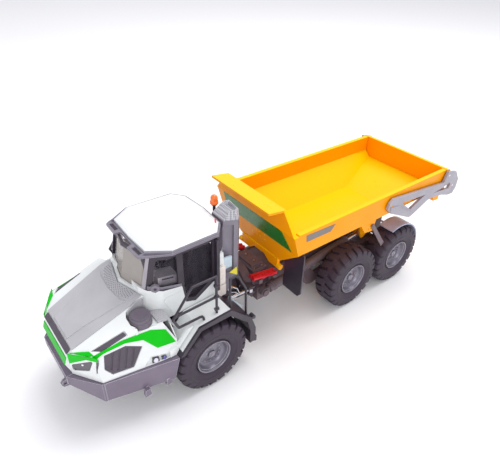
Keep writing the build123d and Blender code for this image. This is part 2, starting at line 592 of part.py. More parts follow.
stack = prism_z(STACK, 37.9, STACK_TOP)
stack -= prism_z([(11.4, 15.0), (12.3, 15.0), (14.1, 19.6), (13.3, 19.9)], 41.0, STACK_TOP - 2)
stack += block(-11.0, 12.4, CAB_REAR + TOUCH, 19.0, 30.5, 38.0)
stack += block(-8.0, 8.0, CAB_REAR + TOUCH, 16.4, 37.9, 46.0)
keep("exhaust_stack", stack)
cap = Solid.make_loft([ring_flat(STACK, STACK_TOP + TOUCH), ring_flat(OUTLET, OUTLET_TOP)], True)
mouth = [ring_flat(shrunk(OUTLET, 1.2), OUTLET_TOP - 1.6), ring_flat(shrunk(OUTLET, 0.7), OUTLET_TOP + 0.3)]
cap -= Solid.make_loft(mouth, True)
keep("stack_cap", cap)

# Beacon on its stem between the stack and the cab
BEACON_X = 2.8
BEACON_Y = 18.3
BEACON_Z = 68.6
BEACON_R = 1.7
stem = rod((BEACON_X, BEACON_Y, 58.0), (BEACON_X, BEACON_Y, BEACON_Z + 0.1), 0.5)
stem += block(BEACON_X - 0.8, BEACON_X + 0.8, 15.2, BEACON_Y + 0.6, 58.0, 59.0)
lens = rod((BEACON_X, BEACON_Y, BEACON_Z), (BEACON_X, BEACON_Y, BEACON_Z + 0.8), BEACON_R)
lens += rod((BEACON_X, BEACON_Y, BEACON_Z + 0.7), (BEACON_X, BEACON_Y, BEACON_Z + 2.6), BEACON_R - 0.25)
lens += Pos(BEACON_X, BEACON_Y, BEACON_Z + 2.3) * (Sphere(BEACON_R - 0.25) & Pos(0, 0, 5) * Box(10, 10, 10))
keep("beacon", stem, lens)

# Front fenders with their rear flap, knob and lamp block
FENDER_OUT = [(-15.0, 25.9), (-6.2, 36.2), (8.4, 37.0), (18.2, 27.4), (20.6, 20.6), (20.6, 13.0)]
FENDER_IN = [(17.9, 13.0), (17.9, 20.2), (16.4, 25.8), (7.6, 34.6), (-5.6, 34.4), (-13.2, 25.9)]
FENDER_X = (CAB_HALF + 0.1, 28.9)
fender = prism_x(FENDER_OUT + FENDER_IN, *FENDER_X)
fender += round_x(19.4, 27.0, 0.9, 26.6, FENDER_X[1])
fender += block(26.6, FENDER_X[1], 17.8, 19.4, 26.3, 27.3)
fender += block(26.2, FENDER_X[1], 20.4, 21.3, 12.6, 15.4)

# Hand rails along the walkway over the fenders
RAIL_X = 26.2
RAIL_R = 0.5
RAILS = [
    [(3.0, 36.0), (3.0, 54.6), (-7.3, 54.8), (-15.6, 43.6), (-13.4, 38.8), (-4.4, 38.8)],
    [(3.0, 45.0), (-14.6, 44.6)],
    [(9.2, 35.0), (9.2, 50.5), (12.6, 50.5), (16.8, 42.0), (17.2, 27.5)]]
rails = [tube_run([(RAIL_X, y, z) for y, z in run], RAIL_R) for run in RAILS]
keep("front_fenders", both(fuse(fender, *rails)))

# Tipping cylinder pins: barrel end on the swivel housing, rod end between ears under the bed
TIP_X = 13.5
BARREL_PIN = (37.4, 20.8)
ROD_PIN = (100.5, 28.5)
TIP_PIN_R = 1.0
TIP_EYE_R = 2.2
TIP_EYE_HALF = 1.3

# Swivel housing: round drum behind the flange, square core and shoulders for the cylinders
DRUM_Y = FLANGE_Y + FLANGE_THICK + 0.2
RAIL_TOP = 27.0
HOUSING_LOW = 15.5
SHOULDER_X = 12.0
rear = fuse(
    rod((0, DRUM_Y, SWIVEL_Z), (0, DRUM_Y + 4, SWIVEL_Z), FLANGE_R),
    block(-9, 9, DRUM_Y + 3.5, 52, HOUSING_LOW, RAIL_TOP),
    both(block(8.9, SHOULDER_X, 35.0, 39.6, HOUSING_LOW, 22.4)),
    both(block(8.9, 10.9, 39.4, 46, HOUSING_LOW, 22.4)),
    block(-7.6, 7.6, 35.4, 43.4, RAIL_TOP - 0.1, 29.4),
    block(-5.6, 5.6, 36.4, 42.4, 29.3, 30.8))
rear += both(round_x(*BARREL_PIN, TIP_PIN_R - PIN_CLEAR, SHOULDER_X - 0.5, TIP_X + 2.0))
rear += both(round_x(*BARREL_PIN, 1.6, TIP_X + TIP_EYE_HALF + 0.2, TIP_X + 2.1))

# Rear rails, axles, bogie beams with front arms, and the bed's pivot brackets
RAIL_END = 125.4
BOGIE_MID = (AXLE_M + AXLE_R) / 2
PIVOT_R = 2.3
RAIL_A = 6.0
RAIL_B = 9.0
rear += both(block(RAIL_A, RAIL_B, 48, RAIL_END, 19, RAIL_TOP))
rear += block(-RAIL_B, RAIL_B, BOGIE_MID - 3, BOGIE_MID + 3, 17, RAIL_TOP)
rear += block(-RAIL_B, RAIL_B, RAIL_END - 4, RAIL_END, 19, RAIL_TOP)
rear += axle(AXLE_M)
rear += axle(AXLE_R)
BEAM = [(AXLE_M - 4, 13.0), (AXLE_R + 4, 13.0), (AXLE_R + 4, 18.0), (BOGIE_MID + 5, 19.6), (BOGIE_MID - 5, 19.6),
        (AXLE_M - 4, 18.0)]
rear += both(prism_x(BEAM, 10, 13))
rear += both(block(8.5, 10.5, BOGIE_MID - 3, BOGIE_MID + 3, 15, 24))
rear += both(prism_x([(62.5, 19.5), (66.0, 10.0), (69.5, 8.6), (73.5, 9.4), (AXLE_M - 1, 13.2), (AXLE_M - 1, 16.5),
                      (72.0, 14.8), (67.5, 19.5)], 10.6, 12.6))
rear += both(block(8.6, 12.6, 62.5, 67.5, 19.2, 21.5))
for y in (AXLE_M, AXLE_R):
    rear += both(block(6.2, RAIL_B, y - 2, y + 2, 16, 20))
BRACKET = [(TIP_Y - 5, RAIL_TOP - 1), (TIP_Y + 3.4, RAIL_TOP - 1), (TIP_Y + PIVOT_R, TIP_Z), (TIP_Y - PIVOT_R, TIP_Z)]
rear += both(prism_x(BRACKET, 6.2, 8.8))
rear += both(round_x(TIP_Y, TIP_Z, PIVOT_R, 6.2, 8.8))
rear += both(block(8.8, 13.8, 34.4, 36.2, 26.5, 28.6))
rear += both(block(8.9, 10.8, 42.4, 44.2, 22.0, 27.4))
rear += both(block(8.9, 13.8, 42.4, 44.2, 26.4, 27.4))
rear -= rod((0, DRUM_Y - 1, SWIVEL_Z), (0, TRUNNION_END + 0.3, SWIVEL_Z), TRUNNION_R + PIN_CLEAR)
rear -= round_x(TIP_Y, TIP_Z, 1.2, -12, 12)
keep("rear_frame", rear)

# Red pipes over the hitch
PIPE_R = 0.95
pipes = []
for x in (10.9, 12.9):
    pipes.append(rod((x, 31.2, 30.6), (x, 44.6, 28.2), PIPE_R))
pipes.append(block(10.4, 13.4, 36.6, 38.4, 28.2, 29.9))
pipes.append(block(10.4, 13.4, 41.6, 43.0, 27.5, 29.2))
keep("hitch_pipes", both(fuse(*pipes)))


def arc_band(y, z, r0, r1, a0, a1, steps):
    """Ring sector outline of (y, z) points about an axle, angles from +Y upward."""
    turn = [math.radians(a0 + (a1 - a0) * i / steps) for i in range(steps + 1)]
    outer = [(y + r1 * math.cos(a), z + r1 * math.sin(a)) for a in turn]
    return outer + [(y + r0 * math.cos(a), z + r0 * math.sin(a)) for a in reversed(turn)]


# Rear mudguards on a bar behind the last wheels
GUARD_IN = TYRE_R + 1.25
GUARD_OUT = TYRE_R + 1.9
GUARD = arc_band(AXLE_R, TYRE_R, GUARD_IN, GUARD_OUT, 5, 112, 11)
BAR_Y = AXLE_R + 17.4
BAR_Z = 18.3
guards = both(prism_x(GUARD, 19.0, 27.5))
guards += both(rod((0, BAR_Y, BAR_Z), (19.6, BAR_Y, BAR_Z), 0.6))
guards += both(block(6.5, 9.5, 119.6, BAR_Y, 17.7, 18.95))
keep("mudguards", guards)

# Bed: tub with sloping sides and floor, front wall with legs, spill guard, tabs, ears and pins
BED_FLOOR_Z = 35.0
BED_PROFILE = [(40.0, 57.0), (43.3, BED_SIDE_Z), (46.0, BED_BOTTOM), (128.0, BED_BOTTOM), (BED_REAR, 44.5),
               (BED_REAR, 57.0)]
TUB_OUT = [(BED_HALF, BED_RAIL_Z), (BED_HALF, BED_SIDE_Z), (14.0, BED_FLOOR_Z)]
TUB_IN = [(BED_HALF - BED_WALL, BED_RAIL_Z + 1), (BED_HALF - BED_WALL, 48.6), (13.4, BED_FLOOR_Z + BED_WALL)]
HOLLOW = [(41.4, 60), (44.7, 46.0), (46.6, 37.0), (118.0, 37.0), (150.0, 46.6), (150.0, 60.0)]
CANOPY_HALF = 19.6
CANOPY_Z = 65.6
tub = prism_y(section(TUB_OUT), 38, BED_REAR + 2) & prism_x(BED_PROFILE, -40, 40)
tub -= prism_x([(94, 45.0), (150, 45.0), (150, 48.0), (120, 47.6)], BED_HALF - 0.9, 40)
tub -= prism_x([(94, 45.0), (150, 45.0), (150, 48.0), (120, 47.6)], -40, -BED_HALF + 0.9)
hollow = prism_y(section(TUB_IN), 38, BED_REAR + 5) & prism_x(HOLLOW, -40, 40)
bed = tub - hollow
bed += prism_y([(-BED_HALF, 55.9), (BED_HALF, 55.9), (CANOPY_HALF, CANOPY_Z), (-CANOPY_HALF, CANOPY_Z)], 40.0, 41.4)
bed += prism_x([(32.3, 67.0), (41.4, CANOPY_Z), (41.4, 64.6), (32.3, 66.0)], -CANOPY_HALF, CANOPY_HALF)
bed += prism_x([(43.0, 55.9), (BED_REAR, 55.9), (BED_REAR, 56.6), (43.0, 56.6)], BED_HALF - BED_WALL, BED_HALF)
bed += prism_x([(43.0, 55.9), (BED_REAR, 55.9), (BED_REAR, 56.6), (43.0, 56.6)], -BED_HALF, -BED_HALF + BED_WALL)
LEGS = [(-13, 35.3), (-13, 30.4), (-7, 30.4), (-3.7, 33.0), (3.7, 33.0), (7, 30.4), (13, 30.4), (13, 35.3)]
bed += prism_y(LEGS, 45.0, 46.4)
bed += both(rod((12.5, 45.7, 31.4), (14.8, 45.7, 31.4), 1.3))
bed += both(prism_x([(82.5, 46.1), (86.2, 40.8), (91.8, 40.2), (93.0, 46.1)], 25.9, BED_HALF))
bed += both(prism_x([(138.0, 45.6), (141.0, 39.8), (145.4, 39.4), (145.4, 48.5), (138.0, 48.5)], 24.4, BED_HALF))
for y in (88.3, 90.2):
    bed -= both(round_x(y, 42.1, 0.45, 25, 28))
EAR_PLATE = [(TIP_Y - 6, BED_FLOOR_Z + 1), (TIP_Y + 6, BED_FLOOR_Z + 1), (TIP_Y + PIVOT_R, TIP_Z),
             (TIP_Y + 1.4, TIP_Z - 1.9), (TIP_Y - 1.4, TIP_Z - 1.9), (TIP_Y - PIVOT_R, TIP_Z)]
bed += both(prism_x(EAR_PLATE, 9.4, 11.6))
bed += round_x(TIP_Y, TIP_Z, 1.2 - PIN_CLEAR, -11.6, 11.6)
ry, rz = ROD_PIN
EAR_GAP = 0.3
EAR_THICK = 1.0
for x, top in ((TIP_X - TIP_EYE_HALF - EAR_GAP - EAR_THICK, 36.0), (TIP_X + TIP_EYE_HALF + EAR_GAP, 37.8)):
    ear = [(ry - 4.5, top), (ry + 4.5, top), (ry + 2.1, rz), (ry + 1.0, rz - 1.9), (ry - 1.0, rz - 1.9),
           (ry - 2.1, rz)]
    bed += both(prism_x(ear, x, x + EAR_THICK))
bed += both(round_x(ry, rz, 1.3, TIP_X + TIP_EYE_HALF + EAR_GAP + 0.9, TIP_X + TIP_EYE_HALF + EAR_GAP + 1.3))
bed += both(round_x(GATE_Y, GATE_Z, 1.0 - PIN_CLEAR, BED_HALF - 0.5, 29.0))
keep("bed", bed)

# Green panel on the sloping front face of the bed
FACE_N = (-11.0 / 11.484, -3.3 / 11.484)
FACE_LOW = (43.3, BED_SIDE_Z)
FACE_HIGH = (40.0, 57.0)
PANEL = [(-22.9, 46.1), (22.9, 46.1), (19.0, 55.0), (15.4, 55.7), (-21.5, 55.7)]


def face_line(d):
    return [(y + FACE_N[0] * d, z + FACE_N[1] * d) for y, z in (FACE_LOW, FACE_HIGH)]


low_line = face_line(TOUCH)
high_line = face_line(0.3)
keep("bed_panel", prism_x(low_line + high_line[::-1], -30, 30) & prism_y(PANEL, 36, 48))

# Flaps under the front corners of the bed
FLAP = [(17.0, 23.1), (26.8, 23.1), (28.5, 25.2), (28.5, 45.8), (26.9, 45.8), (17.0, 37.4)]
keep("mudflaps", both(prism_y(FLAP, 45.5, 46.1)))

# Tailgate plate and the arms that carry it
GATE_GAP = 0.5
GATE_FRONT = BED_REAR + GATE_GAP
GATE_HALF = 27.5
gate = prism_x([(GATE_FRONT, 56.6), (GATE_FRONT + 1.4, 56.6), (GATE_FRONT + 1.4, 45.4), (GATE_FRONT, 45.4)],
               -GATE_HALF, GATE_HALF)
LIP = [(GATE_FRONT + 1.3, 56.6), (GATE_FRONT + 2.6, 56.2), (GATE_FRONT + 2.6, 55.2), (GATE_FRONT + 1.3, 55.0)]
gate += prism_x(LIP, -GATE_HALF, GATE_HALF)
for x in (-18, -6, 6, 18):
    gate += block(x - 0.7, x + 0.7, GATE_FRONT + 1.3, GATE_FRONT + 2.2, 45.8, 55.3)
keep("tailgate", gate)
ARM = [(97.8, 50.4), (98.6, 53.2), (100.9, 55.0), (143.2, 50.6), (145.2, 56.4), (152.7, 54.6), (TAIL_Y, 49.0),
       (TAIL_Y, 43.8), (155.0, 40.9), (150.2, 41.4), (143.5, 43.6), (135.6, 44.8), (131.1, 44.5), (120.0, 39.6),
       (117.4, 39.2), (100.5, 47.4)]
ARM_HOLE = [(108.2, 50.6), (128.0, 48.8), (117.2, 43.8)]
ARM_SLIT = [(135.3, 47.3), (144.2, 48.0), (149.2, 49.4), (150.0, 47.6), (149.4, 45.6)]
ARM_BRACKET = [(99.5, 51.2), (106.0, 49.8), (118.6, 41.4), (117.2, 39.6), (100.3, 47.6)]
ARM_IN = 27.6
ARM_OUT = 29.0
arm = prism_x(ARM, ARM_IN, ARM_OUT) - prism_x(ARM_HOLE, 27, 30) - prism_x(ARM_SLIT, 27, 30)
arm += prism_x(ARM_BRACKET, ARM_OUT - 0.1, TYRE_OUT)
arm += prism_x([(152.0, 44.0), (156.0, 46.0), (155.4, 49.0), (151.4, 50.6)], 26.4, ARM_IN + 0.1)
arm -= round_x(GATE_Y, GATE_Z, 1.0, 26, 29.1)
keep("gate_arms", both(arm))

# Grey struts hung from the bed's side tabs between the wheels
STRUT = [(89.4, 43.6), (91.2, 44.4), (102.8, 29.2), (101.0, 27.6)]
strut = prism_x(STRUT, BED_HALF + TOUCH, 27.6) + round_x(90.4, 43.6, 0.8, BED_HALF + TOUCH, 28.0)
keep("bed_struts", both(strut))


# Tipping cylinders: barrel turning on its pin, rod with a plain eye between the ears
def along(t):
    by, bz = BARREL_PIN
    n = math.hypot(ry - by, rz - bz)
    return (by + (ry - by) * t / n, bz + (rz - bz) * t / n)


SPAN = math.hypot(ry - BARREL_PIN[0], rz - BARREL_PIN[1])
BARREL_R = 2.2
TIP_ROD_R = 1.2
barrel = rod((TIP_X, *along(3.0)), (TIP_X, *along(SPAN - 10.0)), BARREL_R)
barrel += rod((TIP_X, *along(SPAN - 11.6)), (TIP_X, *along(SPAN - 9.9)), BARREL_R + 0.25)
barrel += rod((TIP_X, *along(5.0)), (TIP_X, *along(6.4)), BARREL_R + 0.2)
barrel += round_x(*BARREL_PIN, TIP_EYE_R, TIP_X - TIP_EYE_HALF, TIP_X + TIP_EYE_HALF)
barrel += rod((TIP_X, *along(0)), (TIP_X, *along(3.2)), 1.25)
barrel -= round_x(*BARREL_PIN, TIP_PIN_R, 0, 30)
barrel -= rod((TIP_X, *along(5.0)), (TIP_X, *along(SPAN)), TIP_ROD_R + PIN_CLEAR)
stem = rod((TIP_X, *along(7.0)), (TIP_X, *along(SPAN)), TIP_ROD_R)
stem += round_x(ry, rz, 1.9, TIP_X - TIP_EYE_HALF, TIP_X + TIP_EYE_HALF)
sc_dx = SC_R[0] - SC_F[0]
sc_dy = SC_R[1] - SC_F[1]
sc_n = math.hypot(sc_dx, sc_dy)


# Steering cylinders: barrel on the tractor's pin, rod with a plain eye in the housing's fork
def sc(t, z=SC_Z):
    return (SC_F[0] + sc_dx * t / sc_n, SC_F[1] + sc_dy * t / sc_n, z)


SC_BARREL_R = 1.5
SC_ROD_R = 0.8
SC_BARREL_END = 22.3
steer_barrel = rod(sc(3.0), sc(SC_BARREL_END), SC_BARREL_R) + rod(sc(0.5), sc(3.5), 0.8)
steer_barrel += rod(sc(0, SC_Z - SC_EYE / 2), sc(0, SC_Z + SC_EYE / 2), SC_EYE_R)
steer_barrel -= rod(sc(0, 10), sc(0, 30), SC_PIN + PIN_CLEAR)
steer_barrel -= rod(sc(5.0), sc(sc_n), SC_ROD_R + PIN_CLEAR)
steer_stem = rod(sc(14.4), sc(sc_n), SC_ROD_R)
steer_stem += rod(sc(sc_n, SC_Z - SC_EYE / 2), sc(sc_n, SC_Z + SC_EYE / 2), SC_EYE_R)
for name, shape in (("tip_barrel", barrel), ("tip_rod", stem), ("steer_barrel", steer_barrel),
                    ("steer_rod", steer_stem)):
    keep(f"{name}_left", shape)
    keep(f"{name}_right", mirror(shape, Plane.YZ))

os.makedirs("parts", exist_ok=True)
for name, shape in PARTS.items():
    placed = Pos(0, -MID_Y, 0) * shape
    placed.label = name
    export_step(placed, f"parts/{name}.step")
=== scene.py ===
import math
import bmesh
import bpy
from mathutils import Matrix, Vector


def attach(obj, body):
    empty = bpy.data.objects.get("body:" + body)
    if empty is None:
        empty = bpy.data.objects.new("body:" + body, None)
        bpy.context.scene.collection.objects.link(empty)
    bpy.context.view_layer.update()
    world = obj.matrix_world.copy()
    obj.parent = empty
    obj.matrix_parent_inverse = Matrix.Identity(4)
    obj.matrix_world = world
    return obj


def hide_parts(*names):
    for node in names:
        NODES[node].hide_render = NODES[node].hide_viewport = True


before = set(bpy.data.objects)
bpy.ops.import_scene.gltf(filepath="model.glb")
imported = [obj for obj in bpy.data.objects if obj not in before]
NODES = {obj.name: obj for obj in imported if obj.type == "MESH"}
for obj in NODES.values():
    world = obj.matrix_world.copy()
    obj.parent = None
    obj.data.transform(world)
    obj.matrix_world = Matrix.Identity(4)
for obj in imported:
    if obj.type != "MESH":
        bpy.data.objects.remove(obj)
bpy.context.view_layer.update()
MM = 0.001

# Camera: the truck is seen from above its left front corner. The view is a fit
# to the wheels, the cab and the bed of the photograph.
AZIMUTH, ELEVATION, ROLL = (math.radians(a) for a in (50.86, 34.92, 2.07))
TARGET = Vector((-24.25, 7.4, 20.0)) * MM
DISTANCE = 247.74 * MM
FOCAL_PX, IMAGE_W = 465.8, 500
back = Vector((math.sin(AZIMUTH) * math.cos(ELEVATION), -math.cos(AZIMUTH) * math.cos(ELEVATION),
               math.sin(ELEVATION)))
right = Vector((0, 0, 1)).cross(back).normalized()
up = back.cross(right)
rolled = [math.cos(ROLL) * right + math.sin(ROLL) * up, -math.sin(ROLL) * right + math.cos(ROLL) * up, back]
camera = bpy.data.objects.new("camera", bpy.data.cameras.new("camera"))
bpy.context.scene.collection.objects.link(camera)
camera.matrix_world = Matrix.Translation(TARGET + back * DISTANCE) @ Matrix(rolled).transposed().to_4x4()
camera.data.sensor_width = 36
camera.data.lens = 36 * FOCAL_PX / IMAGE_W
camera.data.clip_start, camera.data.clip_end = 0.01, 10
bpy.context.scene.camera = camera

# Studio: a plain white sweep of painted board. A broad soft lamp hangs overhead, a little
# behind the truck, a weaker one stands off its left front, and the surround is cool white.
FLOOR_SIZE = 6.0
SURROUND, SURROUND_STRENGTH = "#FAFAFF", 0.76
LAMPS = (("key", (-0.05, 0.30, 0.78), 0.55, 4.4),
         ("side", (0.66, -0.42, 0.45), 0.50, 1.9))


def linear(code):
    """sRGB hex colour as the linear values that a shader takes."""
    parts = [int(code[i:i + 2], 16) / 255 for i in (1, 3, 5)]
    return tuple(c / 12.92 if c <= 0.04045 else ((c + 0.055) / 1.055) ** 2.4 for c in parts) + (1.0,)


def node(tree, kind, settings=None, **inputs):
    """Adds one shader node, sets its properties and fills or links its inputs, named or numbered as _0."""
    made = tree.nodes.new(kind)
    for key, value in (settings or {}).items():
        setattr(made, key, value)
    for key, value in inputs.items():
        socket = made.inputs[int(key[1:])] if key[0] == "_" else made.inputs[key.replace("_", " ")]
        if isinstance(value, bpy.types.NodeSocket):
            tree.links.new(value, socket)
        else:
            socket.default_value = value
    return made


floor_mesh = bpy.data.meshes.new("floor")
sweep = bmesh.new()
bmesh.ops.create_grid(sweep, x_segments=1, y_segments=1, size=FLOOR_SIZE / 2)
sweep.to_mesh(floor_mesh)
sweep.free()
floor = bpy.data.objects.new("floor", floor_mesh)
bpy.context.scene.collection.objects.link(floor)
board = bpy.data.materials.new("matt_painted_board")
board.use_nodes = True
shader = board.node_tree.nodes["Principled BSDF"]
mottle = node(board.node_tree, "ShaderNodeTexNoise", Scale=9.0)
tone = node(board.node_tree, "ShaderNodeMix", {"data_type": "RGBA"}, _0=mottle.outputs[0],
            _6=linear("#FBFBFC"), _7=linear("#FEFEFE"))
board.node_tree.links.new(tone.outputs[2], shader.inputs["Base Color"])
shader.inputs["Roughness"].default_value = 0.9
floor_mesh.materials.append(board)
world = bpy.data.worlds.new("studio")
world.use_nodes = True
surround = world.node_tree.nodes["Background"]
surround.inputs["Color"].default_value = linear(SURROUND)
surround.inputs["Strength"].default_value = SURROUND_STRENGTH
bpy.context.scene.world = world
bpy.context.scene.view_settings.view_transform = "Standard"
for name, place, width, power in LAMPS:
    light = bpy.data.lights.new(name, "AREA")
    light.shape, light.size, light.energy = "SQUARE", width, power
    lamp = bpy.data.objects.new(name, light)
    lamp.location = place
    lamp.rotation_euler = (-Vector(place)).to_track_quat("-Z", "Y").to_euler()
    bpy.context.scene.collection.objects.link(lamp)

# Tyres: moulded rubber over a round carcass. Wide lugs run in from each shoulder and
# interlock in the middle, and a raised ring on the wall guards the bead.
AXLES = {"front": 0.0, "middle": 82.1, "rear": 115.7}
AXLE_Z = 16.15
FRONT_AXLE_Y = -51.6
SHARP_DEGREES = 35
TREAD_MIDDLE = 23.5
# Profile of the carcass: place across the wheel and radius.
TYRE_WALL = [(19.6, 8.1), (18.6, 8.5), (17.9, 9.6), (17.65, 11.2), (17.75, 13.0), (18.3, 14.3),
             (19.2, 14.9), (21.0, 15.1), (23.5, 15.2), (26.0, 15.1), (27.8, 14.9), (28.7, 14.3),
             (29.2, 13.2), (29.25, 12.3), (29.2, 11.7), (29.35, 11.5), (29.35, 11.0), (29.1, 10.8),
             (28.9, 9.8), (28.5, 8.8), (28.0, 8.1)]
# One lug: place across the tread, radius of its top, turn along the tread and half its width.
LUG_STATIONS = [(-1.0, 16.05, -0.030, 0.052), (0.5, 16.1, -0.010, 0.090), (1.6, 16.1, 0.012, 0.100),
                (4.2, 16.05, 0.048, 0.104), (5.3, 15.5, 0.058, 0.100), (5.62, 14.4, 0.062, 0.092),
                (5.66, 13.5, 0.063, 0.080)]
LUG_COUNT = 22
LUG_DEPTH, LUG_FLARE, LUG_SWEEP = 1.3, 1.08, 1.4


def finish(name, code, rough, grit, relief, drift, drift_share, soften, patch=7.0, metallic=0.0, coat=0.0,
           worn_lit_edge=None, worn_lit_edge_share=0.5, gleam=0.5):
    """Solid finish with fine grit, slow drift of tint and gloss, and edges rounded and lit by a painted
    highlight with a little wear.

    Grit, relief, softened edges and patches of drift are given in millimetres.
    """
    made = bpy.data.materials.new(name)
    made.use_nodes = True
    tree = made.node_tree
    shader = tree.nodes["Principled BSDF"]
    place = node(tree, "ShaderNodeTexCoord").outputs["Object"]
    slow = node(tree, "ShaderNodeTexNoise", Vector=place, Scale=1 / (patch * MM), Detail=4.0, Roughness=0.6)
    fine = node(tree, "ShaderNodeTexNoise", Vector=place, Scale=1 / (grit * MM), Detail=2.0)
    rounded = node(tree, "ShaderNodeBevel", {"samples": 4}, Radius=soften * MM)
    bump = node(tree, "ShaderNodeBump", Strength=1.0, Distance=relief * MM, Height=fine.outputs[0],
                Normal=rounded.outputs[0])
    tint = node(tree, "ShaderNodeMapRange", Value=slow.outputs[0], From_Min=0.35, From_Max=0.75, To_Min=0.0,
                To_Max=drift_share)
    colour = node(tree, "ShaderNodeMix", {"data_type": "RGBA"}, _0=tint.outputs[0], _6=linear(code),
                  _7=linear(drift))
    # Where the rounded normal turns away from the true one, the colour goes toward the edge colour: a painted
    # highlight along edges, with a little wear.
    if worn_lit_edge:
        true = node(tree, "ShaderNodeNewGeometry").outputs["Normal"]
        turn = node(tree, "ShaderNodeVectorMath", {"operation": "DOT_PRODUCT"}, _0=rounded.outputs[0],
                    _1=true)
        wear_and_highlight = node(tree, "ShaderNodeMapRange", Value=turn.outputs["Value"], From_Min=0.995, From_Max=0.85,
                   To_Min=0.0, To_Max=worn_lit_edge_share)
        colour = node(tree, "ShaderNodeMix", {"data_type": "RGBA"}, _0=wear_and_highlight.outputs[0], _6=colour.outputs[2],
                      _7=linear(worn_lit_edge))
    gloss = node(tree, "ShaderNodeMapRange", Value=slow.outputs[0], From_Min=0.3, From_Max=0.7,
                 To_Min=max(rough - 0.05, 0.02), To_Max=rough + 0.07)
    tree.links.new(colour.outputs[2], shader.inputs["Base Color"])
    tree.links.new(gloss.outputs[0], shader.inputs["Roughness"])
    tree.links.new(bump.outputs[0], shader.inputs["Normal"])
    shader.inputs["Metallic"].default_value = metallic
    shader.inputs["Coat Weight"].default_value = coat
    shader.inputs["Specular IOR Level"].default_value = gleam
    return made


def place_piece(name, shape, body, look, replaces=()):
    """Piece from a bmesh in millimetres counted from the front axle, set in the frame and riding a body."""
    bmesh.ops.remove_doubles(shape, verts=shape.verts, dist=0.0005)
    bmesh.ops.recalc_face_normals(shape, faces=shape.faces)
    mesh = bpy.data.meshes.new(name)
    shape.to_mesh(mesh)
    shape.free()
    mesh.transform(Matrix.Scale(MM, 4) @ Matrix.Translation((0, FRONT_AXLE_Y, 0)))
    mesh.shade_smooth()
    mesh.set_sharp_from_angle(angle=math.radians(SHARP_DEGREES))
    mesh.materials.append(look)
    piece = bpy.data.objects.new(name, mesh)
    bpy.context.scene.collection.objects.link(piece)
    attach(piece, body)
    if replaces:
        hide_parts(*replaces)


def lathe(shape, profile, steps):
    """Turns a profile of (x, radius) points round the X axis."""
    verts = [shape.verts.new((x, 0, r)) for x, r in profile]
    edges = [shape.edges.new(pair) for pair in zip(verts, verts[1:])]
    bmesh.ops.spin(shape, geom=verts + edges, cent=(0, 0, 0), axis=(1, 0, 0), angle=2 * math.pi, steps=steps,
                   use_merge=True)


def run(shape, rings):
    """Carries a closed outline through its places and closes both ends."""
    loops = []
    for ring in rings:
        verts = [shape.verts.new(p) for p in ring]
        loops.append((verts, [shape.edges.new(pair) for pair in zip(verts, verts[1:] + verts[:1])]))
    for (_, first), (_, second) in zip(loops, loops[1:]):
        bmesh.ops.bridge_loops(shape, edges=first + second)
    shape.faces.new(loops[0][0])
    shape.faces.new(loops[-1][0])


tyre_rubber = finish("moulded_tyre_rubber", "#352B38", 0.62, grit=0.5, relief=0.02, drift="#463A4C",
                     drift_share=0.5, worn_lit_edge="#5C5264", worn_lit_edge_share=0.35, soften=0.30)


def lug_rings(side, start):
    """Sections of one lug from past the middle of the tread, over the shoulder and down the wall."""
    rings = []
    for x, r, shift, half in LUG_STATIONS:
        a = start + shift * LUG_SWEEP
        foot, base = half * LUG_FLARE, r - LUG_DEPTH
        ring = []
        for turn, radius in ((-half, r), (half, r), (foot, base), (-foot, base)):
            ring.append((TREAD_MIDDLE + side * x, radius * math.cos(a + turn), radius * math.sin(a + turn)))
        rings.append(ring)
    return rings


left_tyre = bmesh.new()
lathe(left_tyre, TYRE_WALL, 3 * LUG_COUNT)
for i in range(LUG_COUNT):
    for lug_side, half_pitch in ((1, 0.0), (-1, 0.5)):
        run(left_tyre, lug_rings(lug_side, 2 * math.pi * (i + half_pitch) / LUG_COUNT))


def wheel_pieces(name, left_shape, look, stands_for):
    """Puts a copy of the left front shape at each wheel, turned over on the right."""
    for axle, axle_y in AXLES.items():
        for side, sign in (("left", 1), ("right", -1)):
            shape = left_shape.copy()
            bmesh.ops.scale(shape, vec=(sign, 1, 1), verts=shape.verts)
            bmesh.ops.translate(shape, vec=(0, axle_y, AXLE_Z), verts=shape.verts)
            place_piece(f"{name}_{axle}_{side}", shape, f"wheel_set_{axle}_{side}", look,
                        replaces=[f"{stands_for}_{axle}_{side}"])
    left_shape.free()


wheel_pieces("rubber", left_tyre, tyre_rubber, "tyre")

# Wheels: pressed steel rims with a rolled lip, a step, a dished centre held by a ring of
# nuts, and a capped hub. They are painted in a grey metallic lacquer.
RIM_STEPS = 60
# Profile of the rim: place across the wheel and radius.
RIM_PROFILE = [(19.0, 0), (19.0, 3.0), (21.0, 3.0), (21.0, 6.2), (19.4, 6.3), (19.4, 7.85), (28.45, 7.9),
               (28.75, 7.75), (28.8, 7.5), (28.6, 7.25), (28.0, 7.0), (27.8, 7.0), (27.75, 6.85),
               (27.0, 6.55), (26.3, 6.2), (25.9, 5.85), (25.75, 5.5), (25.75, 3.5), (25.85, 3.3),
               (25.95, 2.4), (26.05, 1.75), (26.8, 1.65), (27.0, 1.5), (27.0, 0.95), (26.8, 0.8), (26.8, 0)]
# Nuts and hub screws: how many, radius of their circle, place across the wheel, size and height.
RIM_NUTS = ((18, 4.5, 25.95, 0.38, 0.6), (8, 2.1, 26.1, 0.16, 0.3))
NUT_TAPER = 0.85
wheel_lacquer = finish("grey_metallic_lacquer", "#85808C", 0.34, grit=0.25, relief=0.002, drift="#6A6472",
                       drift_share=0.5, metallic=0.55, coat=0.2, worn_lit_edge="#D8D6DE", worn_lit_edge_share=0.7, soften=0.25)


def around(count):
    """Angles of fixings spaced evenly round a circle, the first half a space from its start."""
    return [2 * math.pi * (i + 0.5) / count for i in range(count)]


